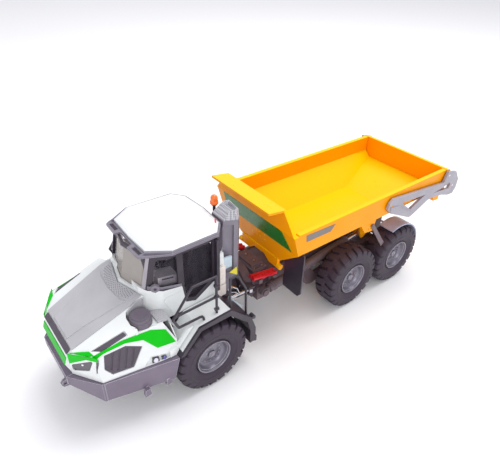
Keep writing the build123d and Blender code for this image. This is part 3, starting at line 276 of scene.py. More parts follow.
left_rim = bmesh.new()
lathe(left_rim, RIM_PROFILE, RIM_STEPS)
for count, ring, x, radius, height in RIM_NUTS:
    for angle in around(count):
        place = Matrix.Translation((x, ring * math.cos(angle), ring * math.sin(angle)))
        bmesh.ops.create_cone(left_rim, cap_ends=True, segments=6, radius1=radius, radius2=radius * NUT_TAPER,
                              depth=height, matrix=place @ Matrix.Rotation(math.pi / 2, 4, "Y"))
wheel_pieces("rim", left_rim, wheel_lacquer, "wheel")

# Chassis: the tractor's frame, the hitch and the rear frame are zinc castings in a
# thin dark satin lacquer. Bolts hold the swivel ring and the axles.
LEFT, FORWARD, UP = (1, 0, 0), (0, -1, 0), (0, 0, 1)
dark_lacquer = finish("satin_lacquer_on_zinc", "#6E5C62", 0.45, grit=0.3, relief=0.006, drift="#54454C",
                      drift_share=0.6, worn_lit_edge="#9C9298", worn_lit_edge_share=0.5, soften=0.25, patch=5.0)
frame_lacquer = finish("dark_lacquer_on_zinc", "#493C44", 0.45, grit=0.3, relief=0.006, drift="#382E36",
                       drift_share=0.6, worn_lit_edge="#7C747C", worn_lit_edge_share=0.4, soften=0.25, patch=5.0)
bright_bolt = finish("zinc_plated_steel", "#C9C6CC", 0.28, grit=0.2, relief=0.002, drift="#8E8A92",
                     drift_share=0.5, metallic=0.9, soften=0.08, patch=2.0)


def dress(look, *names):
    """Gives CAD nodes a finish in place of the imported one."""
    for name in names:
        NODES[name].data.materials.clear()
        NODES[name].data.materials.append(look)


def both_sides(shape):
    """Copies what is modelled on the left to the right of the centre line."""
    bmesh.ops.mirror(shape, geom=shape.verts[:] + shape.edges[:] + shape.faces[:], axis="X", merge_dist=-1)


def stud(shape, place, axis, radius, height, sides=6, tip=0.85):
    """Low round or six-sided head standing on a face."""
    axis = Vector(axis).normalized()
    turn = axis.to_track_quat("Z", "Y").to_matrix().to_4x4()
    middle = Vector(place) + axis * height / 2
    bmesh.ops.create_cone(shape, cap_ends=True, segments=sides, radius1=radius, radius2=radius * tip,
                          depth=height, matrix=Matrix.Translation(middle) @ turn)


dress(frame_lacquer, "front_frame", "hitch_yoke", "steer_barrel_left", "steer_barrel_right")
dress(dark_lacquer, "rear_frame")
RING_Y, RING_R, RING_Z = 28.5, 7.2, 22.0
RING_BOLTS = 12
# Heads of bolts: radius and height.
RING_BOLT, TOP_BOLT, RAIL_BOLT, BEAM_BOLT = (0.42, 0.4), (0.55, 0.4), (0.55, 0.45), (0.5, 0.4)
shape = bmesh.new()
for angle in around(RING_BOLTS):
    place = (RING_R * math.cos(angle), RING_Y + 0.22, RING_Z + RING_R * math.sin(angle))
    stud(shape, place, FORWARD, *RING_BOLT)
place_piece("swivel_ring_bolts", shape, "hitch", bright_bolt)
TOP_BOLTS = ((6.4, 37.0, 29.38), (6.4, 41.6, 29.38), (3.0, 39.6, 30.78))
RAIL_BOLTS = ((9.0, 49.0, 24.5), (9.0, 56.0, 24.5))
BEAM_X, BEAM_BOLTS_Y, BEAM_BOLTS_Z = 13.0, (-2.2, 2.2), (14.3, 16.7)
shape = bmesh.new()
for place in TOP_BOLTS:
    stud(shape, place, UP, *TOP_BOLT)
for place in RAIL_BOLTS:
    stud(shape, place, LEFT, *RAIL_BOLT)
for axle in ("middle", "rear"):
    for z in BEAM_BOLTS_Z:
        for step in BEAM_BOLTS_Y:
            stud(shape, (BEAM_X, AXLES[axle] + step, z), LEFT, *BEAM_BOLT)
both_sides(shape)
place_piece("rear_frame_bolts", shape, "rear_chassis", bright_bolt)

# Hoist and steering cylinders: barrels lacquered with the frame, plated rods, and a pair
# of bare pipes in red moulded plastic along the top of the hitch.
barrel_lacquer = finish("grey_brown_lacquer", "#6B5F64", 0.42, grit=0.3, relief=0.005, drift="#51464C",
                        drift_share=0.5, worn_lit_edge="#A89EA4", worn_lit_edge_share=0.5, soften=0.25, patch=5.0)
plated = finish("chromed_rod", "#D2D2D8", 0.12, grit=0.15, relief=0.001, drift="#A8A8B0", drift_share=0.3,
                metallic=1.0, soften=0.06)
red_moulded = finish("red_moulded_abs", "#E01828", 0.30, grit=0.2, relief=0.002, drift="#B00C1C",
                     drift_share=0.4, worn_lit_edge="#F4525C", worn_lit_edge_share=0.5, soften=0.2, patch=4.0)
dress(barrel_lacquer, "tip_barrel_left", "tip_barrel_right")
dress(plated, "tip_rod_left", "tip_rod_right", "steer_rod_left", "steer_rod_right")
dress(red_moulded, "hitch_pipes")

# Bumper: grey painted casting. Its top edge gets a painted highlight, near white, where the
# paint is also thin, and flat-headed bolts sit along its front.
BUMPER_FACE_Y, BUMPER_BOLTS_X, BUMPER_BOLTS_Z = -51.6, (-9.0, -4.5, 4.5, 9.0), 23.4
bumper_paint = finish("grey_enamel_on_zinc", "#766B7C", 0.42, grit=0.3, relief=0.004, drift="#655A6B",
                      drift_share=0.5, coat=0.1, worn_lit_edge="#E6E4EC", worn_lit_edge_share=0.95, soften=0.28, patch=9.0)
dress(bumper_paint, "front_bumper")
shape = bmesh.new()
for x in BUMPER_BOLTS_X:
    stud(shape, (x, BUMPER_FACE_Y + 0.05, BUMPER_BOLTS_Z), FORWARD, 0.42, 0.25, sides=10, tip=0.7)
place_piece("bumper_bolts", shape, "tractor", bumper_paint)

# Bonnet: white gloss enamel over one zinc casting, as on the cab's shell and roof. Bands of
# green enamel, sprayed through a mask and less glossy than the white, run along its sides.
white_enamel = finish("white_gloss_enamel", "#E9EDED", 0.22, grit=0.4, relief=0.0015, drift="#DAD9D8",
                      drift_share=0.5, coat=0.5, worn_lit_edge="#FFFFFF", worn_lit_edge_share=0.6, soften=0.22, patch=12.0)
green_enamel = finish("green_gloss_enamel", "#00C40E", 0.32, grit=0.4, relief=0.0015, drift="#00B00A",
                      drift_share=0.5, worn_lit_edge="#40DC4C", worn_lit_edge_share=0.4, soften=0.1, patch=10.0, gleam=0.15)
dress(white_enamel, "bonnet", "cab_shell", "cab_roof")
dress(green_enamel, "green_bands")

# Deck: grey moulded plate clipped over the bonnet, with bevelled borders. A panel at the
# windscreen's foot is pierced by rows of small holes, drawn as dark discs of painted shade on its face.
DECK_FOOT_Y, DECK_FOOT_Z = -43.0, 38.9
DECK_SLOPE = (48.0 - DECK_FOOT_Z) / 21.0
HOLE_PITCH, HOLE_R, HOLE_RAISE, HOLE_FILM = 0.78, 0.24, 0.59, 0.035
HOLES_HALF_WIDTH = 10.6
PANEL_FRONT = [(0, -27.0), (6.5, -26.1), (11.0, -24.2)]
PANEL_BACK = [(0, -24.3), (11.0, -21.9)]
deck_plastic = finish("grey_moulded_abs", "#B7B6BA", 0.42, grit=0.35, relief=0.004, drift="#A4A3A8",
                      drift_share=0.5, worn_lit_edge="#DCDCE4", worn_lit_edge_share=0.7, soften=0.25, patch=10.0)
# Dark grey discs for the holes: painted shade where the bores would be.
painted_hole_shade = finish("unlit_hole_in_abs", "#7E7C86", 0.7, grit=0.2, relief=0.002, drift="#66646E",
                   drift_share=0.5, soften=0.02)
dress(deck_plastic, "bonnet_deck", "step_panels")


def along_line(points, x):
    """Height of a broken line over x."""
    for (x0, y0), (x1, y1) in zip(points, points[1:]):
        if x <= x1:
            return y0 + (y1 - y0) * (x - x0) / (x1 - x0)
    return points[-1][1]


def deck_top(y, proud):
    """Height of a point that stands proud of the sloping deck."""
    return DECK_FOOT_Z + (y - DECK_FOOT_Y) * DECK_SLOPE + proud


shape = bmesh.new()
columns = int(HOLES_HALF_WIDTH / HOLE_PITCH)
for i in range(-columns, columns + 1):
    x = i * HOLE_PITCH
    front, rear = along_line(PANEL_FRONT, abs(x)), along_line(PANEL_BACK, abs(x))
    rows = int((rear - front) / HOLE_PITCH)
    for j in range(rows + 1):
        y = front + (j + 0.5 * (i % 2)) * HOLE_PITCH
        if y < rear:
            stud(shape, (x, y, deck_top(y, HOLE_RAISE)), (0, -DECK_SLOPE, 1), HOLE_R, HOLE_FILM, tip=1.0)
place_piece("deck_perforation", shape, "tractor", painted_hole_shade)

# Nose: dark grey moulded grilles and smoked lamp glasses pressed into the casting, with a
# bright bowl in each glass. Green enamel turns the slanted corners, and two lens buttons,
# clear and blue, are set in each side.
grille_plastic = finish("dark_grey_moulded_abs", "#544C58", 0.42, grit=0.3, relief=0.004, drift="#3C3440",
                        drift_share=0.6, worn_lit_edge="#8A828E", worn_lit_edge_share=0.5, soften=0.2, patch=6.0)
smoked = finish("smoked_clear_styrene", "#2E2832", 0.10, grit=0.4, relief=0.001, drift="#463E4A",
                drift_share=0.5, coat=0.6, worn_lit_edge="#7C747E", worn_lit_edge_share=0.5, soften=0.2, patch=3.0)
mirror_bowl = finish("vacuum_metallised_styrene", "#E8E8F0", 0.12, grit=0.2, relief=0.001, drift="#C8C8D4",
                     drift_share=0.4, metallic=0.9, soften=0.05)
lamp_white = finish("clear_lamp_styrene", "#E8E2F2", 0.12, grit=0.2, relief=0.002, drift="#C4BCD8",
                    drift_share=0.5, coat=0.8, soften=0.08, patch=1.5)
lamp_blue = finish("blue_lamp_styrene", "#4A46A0", 0.12, grit=0.2, relief=0.002, drift="#2E2A70",
                   drift_share=0.5, coat=0.8, soften=0.08, patch=1.5)
dress(grille_plastic, "front_grille")
dress(smoked, "headlamps")
FACET_A, FACET_B = Vector((11.8, -49.3, 0)), Vector((22.2, -42.3, 0))
FACET_BAND = [(7.4, 36.0), (12.4, 36.6), (12.4, 38.3), (7.4, 38.0)]
CORNER_TOP_BAND = [(12.0, -48.56, 36.02), (15.17, -45.81, 37.52), (17.6, -43.5, 38.4), (20.3, -42.8, 38.28),
                   (19.35, -44.09, 38.02), (15.74, -46.45, 37.18)]
BUTTON_AXIS = (1, 0, 0.18)
facet_run = (FACET_B - FACET_A).normalized()
facet_out = Vector((facet_run.y, -facet_run.x, 0))


def on_corner(t, z, out):
    """Point on the bonnet's slanted corner, t along it."""
    return FACET_A + facet_run * t + facet_out * out + Vector((0, 0, z))


def sheet(shape, corners, depth):
    """Flat outline of (x, y, z) corners thickened by a vector."""
    ring = [Vector(c) for c in corners]
    run(shape, [ring, [c + Vector(depth) for c in ring]])


shape = bmesh.new()
stud(shape, on_corner(5.2, 32.1, -0.26), facet_out, 0.5, 0.16, sides=16, tip=0.8)
both_sides(shape)
place_piece("headlamp_bowls", shape, "tractor", mirror_bowl)
shape = bmesh.new()
sheet(shape, [on_corner(t, z, 0.03) for t, z in FACET_BAND], facet_out * 0.08)
sheet(shape, CORNER_TOP_BAND, (0, 0, 0.24))
both_sides(shape)
place_piece("green_corner_bands", shape, "tractor", green_enamel)
for tone, look, place, radius, height in (("clear", lamp_white, (25.15, -23.2, 27.2), 0.95, 0.35),
                                          ("blue", lamp_blue, (25.55, -19.9, 26.9), 0.8, 0.3)):
    shape = bmesh.new()
    stud(shape, place, BUTTON_AXIS, radius, height, sides=20, tip=0.8)
    both_sides(shape)
    place_piece(f"side_lamps_{tone}", shape, "tractor", look)

# Filler cap: dark grey moulding with a stepped rim and a shallow dished top, set beside the
# bonnet's deck at the foot of the cab's left post.
CAP_PLACE = (18.1, -24.0, 44.98)
CAP_STEPS = [(0.0, 0.0), (0.0, 3.2), (0.12, 3.3), (0.30, 3.3), (0.34, 3.05), (0.22, 2.8), (0.14, 2.4),
             (0.10, 0.0)]
CAP_SIDES = 40
cap_plastic = finish("soft_grey_moulded_abs", "#6A626E", 0.48, grit=0.3, relief=0.005, drift="#544C58",
                     drift_share=0.5, worn_lit_edge="#9A92A0", worn_lit_edge_share=0.6, soften=0.3, patch=4.0)
dress(cap_plastic, "filler_cap")
shape = bmesh.new()
lathe(shape, CAP_STEPS, CAP_SIDES)
bmesh.ops.rotate(shape, cent=(0, 0, 0), matrix=Matrix.Rotation(-math.pi / 2, 3, "Y"), verts=shape.verts)
bmesh.ops.translate(shape, vec=CAP_PLACE, verts=shape.verts)
place_piece("filler_cap_rim", shape, "tractor", cap_plastic)

# Step beside the cab: tread plate moulded in the deck's grey, with staggered rows of raised
# pips for a boot to hold.
PIP_PITCH, PIP_R, PIP_HEIGHT = 0.85, 0.24, 0.16
PIP_COLUMNS, PIP_ROWS = 8, 5
STEP_X, STEP_Y, STEP_Z = 15.9, -18.9, 41.97
shape = bmesh.new()
for i in range(PIP_COLUMNS):
    for j in range(PIP_ROWS):
        x, y = STEP_X + i * PIP_PITCH, STEP_Y + (j + 0.5 * (i % 2)) * PIP_PITCH
        stud(shape, (x, y, STEP_Z), UP, PIP_R, PIP_HEIGHT, tip=0.6)
place_piece("step_pips", shape, "tractor", deck_plastic)

# Cab: white enamelled lower body under a black moulded frame. A grey sill strip runs over the
# white side, a lip edges its lower corner, and a six-sided bracket sits at the front post.
CAB_SIDE_X = 17.03
SILL_AT_POST = [(14.75, -18.6, 51.6), (17.0, -14.15, 51.0), (17.0, -14.15, 51.95), (14.75, -18.6, 52.9)]
SILL_ON_SIDE = [(-14.1, 51.0), (-6.2, 48.6), (-6.2, 49.7), (-14.1, 51.9)]
LIP_DOWN_SIDE = [(-13.9, 45.0), (-10.4, 36.6), (-9.5, 36.8), (-13.3, 45.9)]
LIP_UNDER_DOOR = [(-14.0, 45.9), (-13.2, 45.9), (-6.3, 46.3), (-6.3, 46.5)]
POST_BRACKET = Vector((16.1, -16.3, 52.0))
BRACKET_OUT = Vector((0.9, -0.43, 0)).normalized()
BRACKET_R, BRACKET_DEPTH, BRACKET_HOLE_R = 1.75, 1.3, 0.6
black_plastic = finish("black_moulded_abs", "#362D3A", 0.32, grit=0.3, relief=0.004, drift="#262028",
                       drift_share=0.5, worn_lit_edge="#6E6676", worn_lit_edge_share=0.45, soften=0.22, patch=6.0)
grey_plastic = finish("grey_moulded_trim", "#7E7884", 0.40, grit=0.3, relief=0.004, drift="#68626E",
                      drift_share=0.5, worn_lit_edge="#C4C0CA", worn_lit_edge_share=0.7, soften=0.22, patch=6.0)
dress(black_plastic, "cab_pillars", "cab_interior")
dress(grey_plastic, "roof_visor")


def side_plate(shape, x, thick, outline):
    """Flat plate that stands along the truck at x, from its (y, z) corners."""
    sheet(shape, [(x, y, z) for y, z in outline], (thick, 0, 0))


def side_plates(name, slot, look, *plates, body="tractor"):
    """Piece of flat plates on the left side, repeated on the right."""
    shape = bmesh.new()
    for plate in plates:
        side_plate(shape, *plate)
    both_sides(shape)
    place_piece(name, shape, body, look)


shape = bmesh.new()
side_plate(shape, CAB_SIDE_X, 0.2, SILL_ON_SIDE)
sheet(shape, SILL_AT_POST, (0.2, -0.1, 0))
both_sides(shape)
place_piece("sill_strips", shape, "tractor", grey_plastic)
side_plates("cab_side_lips", "white_enamel", white_enamel, (CAB_SIDE_X, 0.25, LIP_DOWN_SIDE),
            (CAB_SIDE_X, 0.12, LIP_UNDER_DOOR))
shape = bmesh.new()
stud(shape, POST_BRACKET - BRACKET_OUT * 0.4, BRACKET_OUT, BRACKET_R, BRACKET_DEPTH, tip=0.92)
both_sides(shape)
place_piece("post_brackets", shape, "tractor", grey_plastic)
# The bracket's hole is a thin black disc on its face: painted shade in place of a bore.
shape = bmesh.new()
stud(shape, POST_BRACKET + BRACKET_OUT * 0.88, BRACKET_OUT, BRACKET_HOLE_R, 0.06, sides=14, tip=1.0)
both_sides(shape)
place_piece("post_bracket_holes", shape, "tractor", black_plastic)

# Cab glass: clear moulded styrene in one liner, pressed into the frame from inside. It is painted
# smoky over the dark tub at the sides as painted shade, and paler on the windscreen as a painted reflection
# of the light.
GLASS_SIDE_Y, GLASS_SCREEN_Y = -14.0, -17.5
SIDE_FILM, SCREEN_FILM = 0.12, 0.55
SIDE_PAINTED_SHADE, SCREEN_PAINTED_GLARE = "#5C5462", "#C4BCB6"
glass = bpy.data.materials.new("clear_moulded_styrene")
glass.use_nodes = True
tree = glass.node_tree
shader = tree.nodes["Principled BSDF"]
spot = node(tree, "ShaderNodeTexCoord").outputs["Object"]
haze = node(tree, "ShaderNodeTexNoise", Vector=spot, Scale=1 / (5 * MM), Detail=3.0)
smear = node(tree, "ShaderNodeMapRange", Value=haze.outputs[0], From_Min=0.35, From_Max=0.7, To_Min=0.04,
             To_Max=0.14)
along = node(tree, "ShaderNodeSeparateXYZ", Vector=spot).outputs["Y"]
span = {"From_Min": (FRONT_AXLE_Y + GLASS_SIDE_Y) * MM, "From_Max": (FRONT_AXLE_Y + GLASS_SCREEN_Y) * MM}
film = node(tree, "ShaderNodeMapRange", Value=along, To_Min=SIDE_FILM, To_Max=SCREEN_FILM, **span)
tone = node(tree, "ShaderNodeMapRange", Value=along, **span)
# Colour runs from the sides' painted shade to the windscreen's painted reflection along the truck.
tint = node(tree, "ShaderNodeMix", {"data_type": "RGBA"}, _0=tone.outputs[0], _6=linear(SIDE_PAINTED_SHADE),
            _7=linear(SCREEN_PAINTED_GLARE))
tree.links.new(tint.outputs[2], shader.inputs["Base Color"])
tree.links.new(smear.outputs[0], shader.inputs["Roughness"])
tree.links.new(film.outputs[0], shader.inputs["Alpha"])
dress(glass, "cab_glass")

# Inside the cab: black moulded liners close the floor and the rear wall. Pale grey consoles
# with dark slots fill the front corners behind pale post trims, and a beige blind hangs
# between them.
REAR_LINER = [(-14.6, 13.85, 37.3), (14.6, 13.85, 37.3), (14.6, 13.85, 53.0), (-14.6, 13.85, 53.0)]
FLOOR_LINER = [(-14.6, -10.0, 37.25), (14.6, -10.0, 37.25), (14.6, 13.8, 37.25), (-14.6, 13.8, 37.25)]
CONSOLE = [(-14.4, 50.4), (-6.4, 48.6), (-6.4, 53.0), (-14.4, 54.6)]
CONSOLE_SLOT = [(-12.9, 53.0), (-8.2, 52.0), (-8.2, 52.7), (-12.9, 53.7)]
POST_TRIM = [(12.8, -16.74, 64.8), (14.0, -16.1, 64.8), (13.7, -18.95, 51.1), (12.3, -19.7, 51.1)]
BLIND = [(-6.0, -14.2, 50.0), (6.0, -14.2, 50.0), (5.0, -11.2, 59.0), (-5.0, -11.2, 59.0)]
shape = bmesh.new()
sheet(shape, REAR_LINER, (0, 0.1, 0))
sheet(shape, FLOOR_LINER, (0, 0, 0.1))
place_piece("cab_liners", shape, "tractor", black_plastic)
console_plastic = finish("pale_grey_moulded_abs", "#ACA6AE", 0.45, grit=0.3, relief=0.003, drift="#8E8892",
                         drift_share=0.5, worn_lit_edge="#DCD8E0", worn_lit_edge_share=0.6, soften=0.2, patch=5.0)
beige_plastic = finish("beige_moulded_abs", "#C8BEB2", 0.5, grit=0.3, relief=0.003, drift="#A89C92",
                       drift_share=0.6, soften=0.2, patch=4.0)
side_plates("cab_side_consoles", "light_grey_plastic", console_plastic, (9.6, 5.4, CONSOLE))
shape = bmesh.new()
sheet(shape, POST_TRIM, (0.05, -0.1, 0))
both_sides(shape)
place_piece("post_trims", shape, "tractor", console_plastic)
# The slots are thin black plates on the consoles: painted shade in place of openings.
side_plates("console_slots", "black_plastic", black_plastic, (15.02, 0.05, CONSOLE_SLOT))
shape = bmesh.new()
sheet(shape, BLIND, (0, 0.8, 0))
place_piece("sun_blind", shape, "tractor", beige_plastic)

# Roof: white enamel over the grey visor, with a grey moulded rim round its top. Dark beds
# take the lamps in the visor, and a small red lamp sits at the back of the left side.
VISOR_BED = [(6.9, -19.15), (11.8, -18.95), (11.6, -17.75), (6.9, -17.85)]
VISOR_BED_Z, RIM_Z = 64.88, 65.1
RIM_INNER = [(12.35, -16.9), (17.56, -9.0), (17.06, 10.05), (12.05, 14.06), (0.0, 15.06)]
RIM_OUTER = [(12.9, -17.6), (17.95, -9.25), (17.6, 10.3), (12.35, 14.55), (0.0, 15.5)]
RED_LAMP = [(9.8, 13.7, 66.4), (12.1, 12.3, 66.65), (12.4, 12.7, 66.5), (10.0, 14.15, 66.2)]
shape = bmesh.new()
sheet(shape, [(x, y, VISOR_BED_Z) for x, y in VISOR_BED], (0, 0, 0.06))
both_sides(shape)
place_piece("visor_lamp_beds", shape, "tractor", black_plastic)
shape = bmesh.new()
for a, b, c, d in zip(RIM_INNER, RIM_INNER[1:], RIM_OUTER[1:], RIM_OUTER):
    sheet(shape, [(x, y, RIM_Z) for x, y in (a, b, c, d)], (0, 0, 0.95))
both_sides(shape)
place_piece("roof_rims", shape, "tractor", grey_plastic)
red_lamp = finish("red_lamp_styrene", "#F03040", 0.15, grit=0.2, relief=0.002, drift="#C01828",
                  drift_share=0.5, coat=0.8, soften=0.08, patch=1.5)
shape = bmesh.new()
sheet(shape, RED_LAMP, (0, 0, 0.4))
place_piece("repeater_lamp", shape, "tractor", red_lamp)

# Air stack: grey moulded column with a lighter cap whose faces carry a honeycomb, and an
# amber beacon on a black stem.
HONEYCOMB_MM = 0.85
STEM_MIDDLE, STEM_R, STEM_LENGTH = (2.8, 18.3, 63.7), 0.62, 9.5
SOCKET_FOOT = (2.8, 18.3, 67.9)
column_plastic = finish("warm_grey_moulded_abs", "#8A8490", 0.45, grit=0.3, relief=0.004, drift="#7A7480",
                        drift_share=0.5, worn_lit_edge="#A8A2B0", worn_lit_edge_share=0.5, soften=0.2, patch=8.0)
honeycomb = finish("moulded_honeycomb_abs", "#CCCCD0", 0.45, grit=0.3, relief=0.003, drift="#BCBCC4",
                   drift_share=0.4, worn_lit_edge="#D4D2DA", worn_lit_edge_share=0.6, soften=0.2, patch=6.0)
tree = honeycomb.node_tree
shader = tree.nodes["Principled BSDF"]
spot = node(tree, "ShaderNodeTexCoord").outputs["Object"]
cell = node(tree, "ShaderNodeTexVoronoi", {"feature": "F1"}, Vector=spot, Scale=1 / (HONEYCOMB_MM * MM),
            Randomness=0.0)
# The cells' hollows are mixed darker than their walls: painted shade in the honeycomb.
cell_shade_mask = node(tree, "ShaderNodeMapRange", Value=cell.outputs["Distance"], From_Min=0.42, From_Max=0.56,
           To_Min=1.0, To_Max=0.0)
plain = shader.inputs["Base Color"].links[0].from_socket
painted_cell_shade = node(tree, "ShaderNodeMix", {"data_type": "RGBA"}, _0=cell_shade_mask.outputs[0], _6=plain,
                  _7=linear("#9A98A0"))
tree.links.new(painted_cell_shade.outputs[2], shader.inputs["Base Color"])
dress(column_plastic, "exhaust_stack")
dress(honeycomb, "stack_cap")
amber = finish("amber_lamp_styrene", "#FF7A14", 0.12, grit=0.3, relief=0.002, drift="#E85A08",
               drift_share=0.6, coat=0.8, worn_lit_edge="#FFB060", worn_lit_edge_share=0.5, soften=0.15, patch=1.5)
dress(amber, "beacon")
shape = bmesh.new()
bmesh.ops.create_cone(shape, cap_ends=True, segments=16, radius1=STEM_R, radius2=STEM_R, depth=STEM_LENGTH,
                      matrix=Matrix.Translation(STEM_MIDDLE))
stud(shape, SOCKET_FOOT, UP, 1.2, 0.66, sides=24, tip=1.35)
place_piece("beacon_foot", shape, "tractor", black_plastic)

# Wall behind the cab door: plates and panels in white and cream enamel, blue-white covers
# over the gear beside the hitch, and a blank yellow sign on printed film.
POST_PLATE = [(9.1, 50.3), (12.9, 50.3), (12.6, 55.6), (9.1, 55.6)]
UPPER_PANEL = [(9.1, 40.2), (13.6, 40.2), (13.6, 48.8), (9.1, 48.8)]
LOWER_PANEL = [(9.1, 34.2), (13.8, 34.2), (13.8, 39.6), (9.1, 39.6)]
POST_X, POST_THICK = 15.2, 1.9
COVER = [(13.6, 45.4), (18.0, 45.4), (18.0, 50.5), (13.6, 50.9)]
LOWER_COVER = [(15.6, 31.4), (22.6, 22.5), (21.4, 20.4), (14.6, 27.5)]
SIGN = [(19.4, 45.2), (16.0, 43.9), (19.8, 41.0)]
pale_blue = finish("blue_white_enamel", "#C4D6E2", 0.25, grit=0.3, relief=0.002, drift="#A4BACA",
                   drift_share=0.5, coat=0.4, worn_lit_edge="#E8F2FA", worn_lit_edge_share=0.5, soften=0.15, patch=4.0)
sign_yellow = finish("yellow_printed_film", "#E8DC28", 0.4, grit=0.3, relief=0.001, drift="#D0C020",
                     drift_share=0.5, soften=0.05, patch=3.0)
cream_enamel = finish("cream_gloss_enamel", "#F2E8E0", 0.25, grit=0.4, relief=0.0015, drift="#E4D8D0",
                      drift_share=0.5, coat=0.4, worn_lit_edge="#FFFFFF", worn_lit_edge_share=0.5, soften=0.15, patch=5.0)
side_plates("rear_post_plates", "white_enamel", white_enamel, (POST_X, POST_THICK, POST_PLATE))
side_plates("rear_post_panels", "white_enamel", cream_enamel, (POST_X, POST_THICK, UPPER_PANEL),
            (POST_X, POST_THICK, LOWER_PANEL))
side_plates("rear_covers", "white_enamel", pale_blue, (14.4, 0.9, COVER))
side_plates("lower_rear_covers", "white_enamel", pale_blue, (16.2, 0.8, LOWER_COVER))
side_plates("blank_yellow_signs", "yellow_enamel", sign_yellow, (16.4, 0.25, SIGN))

# Front fenders: black moulded plastic under a white enamelled walkway, with black clasps on
# the hand rails. Bright brake pipe joints hang between the fenders' rear ends and the hitch.
WALK = [(-13.6, 27.5), (-6.3, 36.1), (8.2, 37.0)]
WALK_IN, WALK_OUT = 17.3, 27.9
CLASP_HEIGHTS = (38.9, 45.0, 50.4)
APRON = [(17.4, -15.2, 39.2), (22.6, -15.2, 39.2), (25.4, -13.3, 27.8), (17.4, -13.3, 27.8)]
CLASP_X = 26.2
RAIL_END = [(-4.5, 38.8), (-3.6, 38.6), (-3.0, 37.8), (-2.8, 36.5)]
BRAKE_PIPES = (([(17.6, 14.5, 36.0), (17.9, 16.2, 37.2), (18.3, 18.4, 35.6), (18.6, 19.2, 33.2)], 0.45),
               ([(17.6, 15.2, 34.6), (18.2, 17.6, 33.8), (18.6, 19.6, 31.6)], 0.35))
dress(black_plastic, "front_fenders", "mudflaps")


def tube(shape, points, radius, sides=10):
    """Bent round bar: a ring at each point across the mean of the runs that meet there."""
    points = [Vector(p) for p in points]
    rings = []
    side = None
    for i, p in enumerate(points):
        ahead = (points[min(i + 1, len(points) - 1)] - p).normalized()
        behind = (p - points[max(i - 1, 0)]).normalized()
        along = (ahead + behind).normalized()
        if side is None:
            side = along.orthogonal().normalized()
        side = (side - along * side.dot(along)).normalized()
        other = along.cross(side)
        bend = 0 < i < len(points) - 1
        stretch = 1 / max(ahead.dot(along), 0.5) if bend else 1
        rings.append([p + radius * stretch * (math.cos(a) * side + math.sin(a) * other)
                      for a in (2 * math.pi * k / sides for k in range(sides))])
    run(shape, rings)


shape = bmesh.new()
for (y0, z0), (y1, z1) in zip(WALK, WALK[1:]):
    sheet(shape, [(WALK_IN, y0, z0), (WALK_OUT, y0, z0), (WALK_OUT, y1, z1), (WALK_IN, y1, z1)],
          (0, -0.1, 0.25))
sheet(shape, APRON, (0, 0.4, 0))
both_sides(shape)
place_piece("fender_walkways", shape, "tractor", white_enamel)
shape = bmesh.new()
for z in CLASP_HEIGHTS:
    tube(shape, [(CLASP_X, 2.2, z), (CLASP_X, 3.8, z)], 0.78, 12)
tube(shape, [(CLASP_X, y, z) for y, z in RAIL_END], 0.5, 12)
both_sides(shape)
place_piece("rail_clasps", shape, "tractor", black_plastic)
shape = bmesh.new()
for points, radius in BRAKE_PIPES:
    tube(shape, points, radius)
both_sides(shape)
place_piece("brake_pipe_joints", shape, "tractor", plated)

# Mudguards, struts and gate arms: blue-grey moulded guards over the rear wheels, zinc struts
# in the chassis lacquer, and silver-lacquered zinc arms pinned with white moulded rivets.
BRACKET_FACE_X, ARM_FACE_X = 29.19, 28.98
BRACKET_RIVETS = ((101.8, 50.0), (104.4, 49.3), (116.4, 42.2))
ARM_RIVETS = ((146.6, 54.0), (152.4, 46.6))
silver_lacquer = finish("silver_lacquer_on_zinc", "#A29EA8", 0.34, grit=0.3, relief=0.004, drift="#86828C",
                        drift_share=0.5, worn_lit_edge="#E4E2EA", worn_lit_edge_share=0.6, soften=0.25)
white_rivet = finish("white_moulded_pin", "#EFEDF2", 0.3, grit=0.3, relief=0.003, drift="#D4D0DA",
                     drift_share=0.5, soften=0.1, patch=1.5)
guard_plastic = finish("blue_grey_moulded_abs", "#B4B8D4", 0.40, grit=0.3, relief=0.004, drift="#8E92AA",
                       drift_share=0.5, worn_lit_edge="#D8DAE8", worn_lit_edge_share=0.6, soften=0.25)
dress(silver_lacquer, "gate_arms")
dress(dark_lacquer, "bed_struts")
dress(guard_plastic, "mudguards")
shape = bmesh.new()
for face_x, rivets in ((BRACKET_FACE_X, BRACKET_RIVETS), (ARM_FACE_X, ARM_RIVETS)):
    for y, z in rivets:
        stud(shape, (face_x, y, z), LEFT, 0.55, 0.2, sides=14, tip=0.75)
both_sides(shape)
place_piece("arm_rivets", shape, "gate", white_rivet)
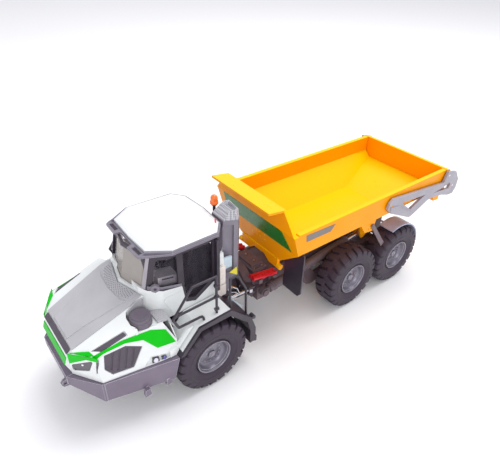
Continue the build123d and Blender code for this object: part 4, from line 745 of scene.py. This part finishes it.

# Bed: tub of welded plates in yellow enamel, with a paler yellow painted on the faces that look up as painted
# light.
# A green panel covers the front face, a blank grey plate of printed film marks each side,
# and a sill fills the joint under the tailgate.
PAINTED_LIGHT_YELLOW = "#FFC800"
PLATE_X = 27.03
SIDE_PLATE = [(47.2, 51.9), (61.3, 51.7), (64.0, 54.6), (46.8, 55.3)]
FRONT_Y, FRONT_Z, FRONT_LEAN = 43.3, 46.0, 0.2077
FRONT_STUDS_X, FRONT_STUDS_Z = (1.0, 4.6), (41.6, 44.2)
SIDE_STUDS = ((27.0, 88.3, 44.6), (27.0, 90.2, 44.6))
GATE_SILL = [(-27.0, 145.2, 44.4), (27.0, 145.2, 44.4), (27.0, 147.4, 44.4), (-27.0, 147.4, 44.4)]
tub_enamel = finish("yellow_gloss_enamel", "#FFA200", 0.30, grit=0.4, relief=0.002, drift="#FA9600",
                    drift_share=0.35, worn_lit_edge="#FFE020", worn_lit_edge_share=0.75, soften=0.3, patch=14.0, gleam=0.15)
green_panel = finish("dark_green_gloss_enamel", "#1E7828", 0.28, grit=0.4, relief=0.0015,
                     drift="#17661F", drift_share=0.5, coat=0.1, worn_lit_edge="#4C9C50", worn_lit_edge_share=0.5,
                     soften=0.12, patch=8.0, gleam=0.3)
plate_film = finish("grey_printed_film", "#7C7674", 0.4, grit=0.3, relief=0.001, drift="#6C6664",
                    drift_share=0.5, soften=0.05, patch=6.0)
# Faces that look up get a paler yellow mixed in: painted light from the lamp overhead.
tree = tub_enamel.node_tree
shader = tree.nodes["Principled BSDF"]
facing = node(tree, "ShaderNodeTexCoord").outputs["Normal"]
skyward = node(tree, "ShaderNodeSeparateXYZ", Vector=facing).outputs["Z"]
painted_light_share = node(tree, "ShaderNodeMapRange", Value=skyward, From_Min=0.05, From_Max=0.75, To_Min=0.0, To_Max=1.0)
plain = shader.inputs["Base Color"].links[0].from_socket
painted_top_light = node(tree, "ShaderNodeMix", {"data_type": "RGBA"}, _0=painted_light_share.outputs[0], _6=plain,
                _7=linear(PAINTED_LIGHT_YELLOW))
tree.links.new(painted_top_light.outputs[2], shader.inputs["Base Color"])
dress(tub_enamel, "bed", "tailgate")
dress(green_panel, "bed_panel")
side_plates("bed_side_plates", "light_grey_plastic", plate_film, (PLATE_X, 0.08, SIDE_PLATE),
            body="tub")
shape = bmesh.new()
for x in FRONT_STUDS_X:
    for z in FRONT_STUDS_Z:
        on_front = (x, FRONT_Y + (FRONT_Z - z) * FRONT_LEAN, z)
        stud(shape, on_front, (0, -1, -0.2), 0.42, 0.2, sides=12, tip=0.75)
for place in SIDE_STUDS:
    stud(shape, place, LEFT, 0.4, 0.15, sides=12, tip=0.75)
both_sides(shape)
place_piece("bed_studs", shape, "tub", tub_enamel)
shape = bmesh.new()
sheet(shape, GATE_SILL, (0, 0, 0.9))
place_piece("gate_sill", shape, "tub", tub_enamel)
